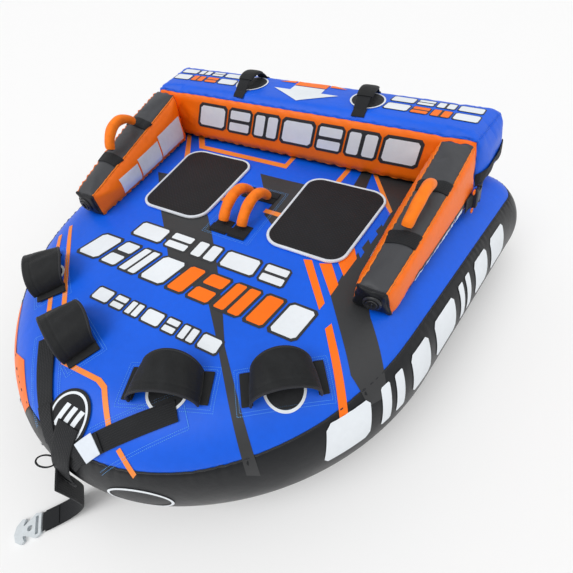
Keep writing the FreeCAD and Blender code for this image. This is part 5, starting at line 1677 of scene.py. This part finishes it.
def build_valves():
    """Each valve is a dished flange with a ribbed ring; its plug has a ribbed rim, a domed top and a tab."""
    rear = (0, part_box("backrest_valve")[0].y, (BACK_LOW[2] + BACK_HIGH[2]) / 2)
    places = {"backrest": (axes(rear, (-1, 0, 0), UP), "backrest")}
    for side_name, side in SIDES.items():
        low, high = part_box(f"armrest_{side_name}_valve")
        front = ((low.x + high.x) / 2, high.y, (low.z + high.z) / 2)
        places[f"armrest_{side_name}"] = (axes(front, (1, 0, 0), UP), "hull")
    droop = math.radians(35)
    out = np.array([0, math.cos(droop), -math.sin(droop)])
    base = np.array([0, HALF_LENGTH - ROUND, ROUND]) + out * (ROUND + 0.001)
    places["hull"] = ((base, np.array([-1.0, 0, 0]), np.cross(out, (-1.0, 0, 0)), out), "hull")
    flange = [(0.0001, 0.0), (0.0225, 0.0), (0.0230, 0.0012), (0.0226, 0.0032), (0.0205, 0.0052),
              (0.0180, 0.0060), (0.0160, 0.0058), (0.0154, 0.0045), (0.0153, 0.0020), (0.0001, 0.0020)]
    plug = [(0.0001, 0.0024), (0.0144, 0.0024), (0.0146, 0.0060), (0.0142, 0.0076), (0.0130, 0.0084),
            (0.0105, 0.0086), (0.0095, 0.0078), (0.0001, 0.0080)]
    for name, (place, body) in places.items():
        build = Build()
        add_lathe(build, place, flange)
        fit(build.mesh(f"{name}_valve_body", M["plastic"], weld=2e-4),
            "black_plastic", body, f"{name}_valve")
        build = Build()
        add_lathe(build, place, plug, ripple=24, depth=0.012, sides=96)
        add_soft_box(build, place, (-0.0022, -0.0095, 0.0072), (0.0022, 0.0095, 0.0118), 0.0016)
        fit(build.mesh(f"{name}_valve_plug", M["plastic"], weld=1e-5),
            "black_plastic", f"{name}_plug", f"{name}_plug")


def build_zipper():
    """Tape across the rear edge, two rows of teeth, and the slider with its pull."""
    angle = math.radians(26)
    out = np.array([0, math.cos(angle), math.sin(angle)])
    up = np.array([0, -math.sin(angle), math.cos(angle)])
    centre = np.array([0, HALF_LENGTH - ROUND, DECK - ROUND]) + out * (ROUND + 0.0010)
    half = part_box("zipper_tape")[1].x
    x = np.linspace(-half, half, 200)
    build = Build()
    for offset in (-0.0082, 0.0082):
        line = centre + up * offset + np.stack([x, 0 * x, 0 * x], -1)
        add_strap(build, line, same(out, len(x)), 0.0135, 0.0014, sides=10)
    count = 420
    place = np.linspace(-half + 0.006, half - 0.006, count)
    shape = np.array([[-1, -1, 0], [1, -1, 0], [1, 1, 0], [-1, 1, 0],
                      [-0.7, -0.8, 1], [0.7, -0.8, 1], [0.7, 0.8, 1], [-0.7, 0.8, 1]], float)
    sides = np.array([[0, 1, 5, 4], [1, 2, 6, 5], [2, 3, 7, 6], [3, 0, 4, 7], [4, 5, 6, 7]])
    shift = np.where(np.arange(count) % 2, 0.0010, -0.0010)
    teeth = (centre + np.stack([place, 0 * place, 0 * place], -1)[:, None] + up * shift[:, None, None]
             + np.array([1.0, 0, 0]) * shape[None, :, :1] * 0.0009 + up * shape[None, :, 1:2] * 0.0022
             + out * (0.0006 + shape[None, :, 2:] * 0.0016))
    faces = (sides[None] + (np.arange(count) * 8)[:, None, None]).reshape(-1, 4)
    build.add(teeth, faces, 1)
    fit(build.mesh("zip_tape_teeth", [M["webbing"], M["plastic"]], smooth=False),
        "black_webbing", "hull", "zipper_tape")

    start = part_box("zipper_slider")[0].x
    slider = Build()
    add_soft_boxes(slider, (centre + np.array([start, 0, 0]), (1.0, 0, 0), up, out),
                   [(0, 0.0155, -0.0058, 0.0058, 0.0026, 0.0060, 0.0016),
                    (0.003, 0.0125, -0.0018, 0.0018, 0.0056, 0.0082, 0.0011),
                    (0.0105, 0.0370, -0.0030, 0.0030, 0.0066, 0.0082, 0.0007)])
    fit(slider.mesh("zip_pull", M["metal"]), "zip_metal", "zipper_slider", "zipper_slider")


# ---------------------------------------------------------------- stage
def build_stage():
    floor = Build()
    span = np.linspace(-60, 60, 9)
    x, y = np.meshgrid(span, span, indexing="xy")
    floor.grid(np.stack([x, y, 0 * x - 0.0005], -1))
    material = bpy.data.materials.new("studio_floor")
    material.use_nodes = True
    bsdf = material.node_tree.nodes["Principled BSDF"]
    bsdf.inputs["Base Color"].default_value = (0.90, 0.90, 0.90, 1)
    bsdf.inputs["Roughness"].default_value = 0.9
    obj = floor.mesh("studio_floor", material)

    world = bpy.data.worlds.new("studio")
    world.use_nodes = True
    world.node_tree.nodes["Background"].inputs[0].default_value = (1, 1, 1, 1)
    world.node_tree.nodes["Background"].inputs[1].default_value = 0.62
    bpy.context.scene.world = world
    bpy.context.scene.view_settings.view_transform = "Standard"
    suns = (("key", (-2.0, -2.6, 4.6), 1.25, 38), ("fill", (2.6, 0.6, 4.0), 0.55, 60))
    for name, place, strength, soft in suns:
        light = bpy.data.lights.new(name, "SUN")
        light.energy, light.angle = strength, math.radians(soft)
        obj = place_object(name, light)
        obj.location = place
        obj.rotation_euler = (-Vector(place)).to_track_quat("-Z", "Y").to_euler()


def build_camera():
    """Camera on the nose's right, high up, with a slight roll."""
    turn, tilt, roll = math.radians(27.859), math.radians(51.378), math.radians(-2.682)
    back = Vector((math.sin(turn) * math.cos(tilt), -math.cos(turn) * math.cos(tilt), math.sin(tilt)))
    right = Vector((math.cos(turn), math.sin(turn), 0))
    up = back.cross(right)
    across = right * math.cos(roll) + up * math.sin(roll)
    over = up * math.cos(roll) - right * math.sin(roll)
    camera = place_object("camera", bpy.data.cameras.new("camera"))
    rotation = Matrix((across, over, back)).transposed()
    camera.matrix_world = Matrix.Translation((0.4838, -0.5988, 0.9702)) @ rotation.to_4x4()
    camera.data.sensor_width = 36
    camera.data.lens = 18.64
    camera.data.clip_start = 0.02
    bpy.context.scene.camera = camera


build_camera()
build_leader()
build_hull()
build_prints()
backrest = build_backrest()
for side_name, side in SIDES.items():
    build_armrest(side_name, side)
build_grips()
build_guards()
build_patches_and_stitches()
build_seats()
build_harness()
build_badge()
build_buckles(backrest)
build_strap_handles(backrest)
build_valves()
build_zipper()
paint(frame["nodes"]["hull_bladder"], "vinyl")
build_stage()
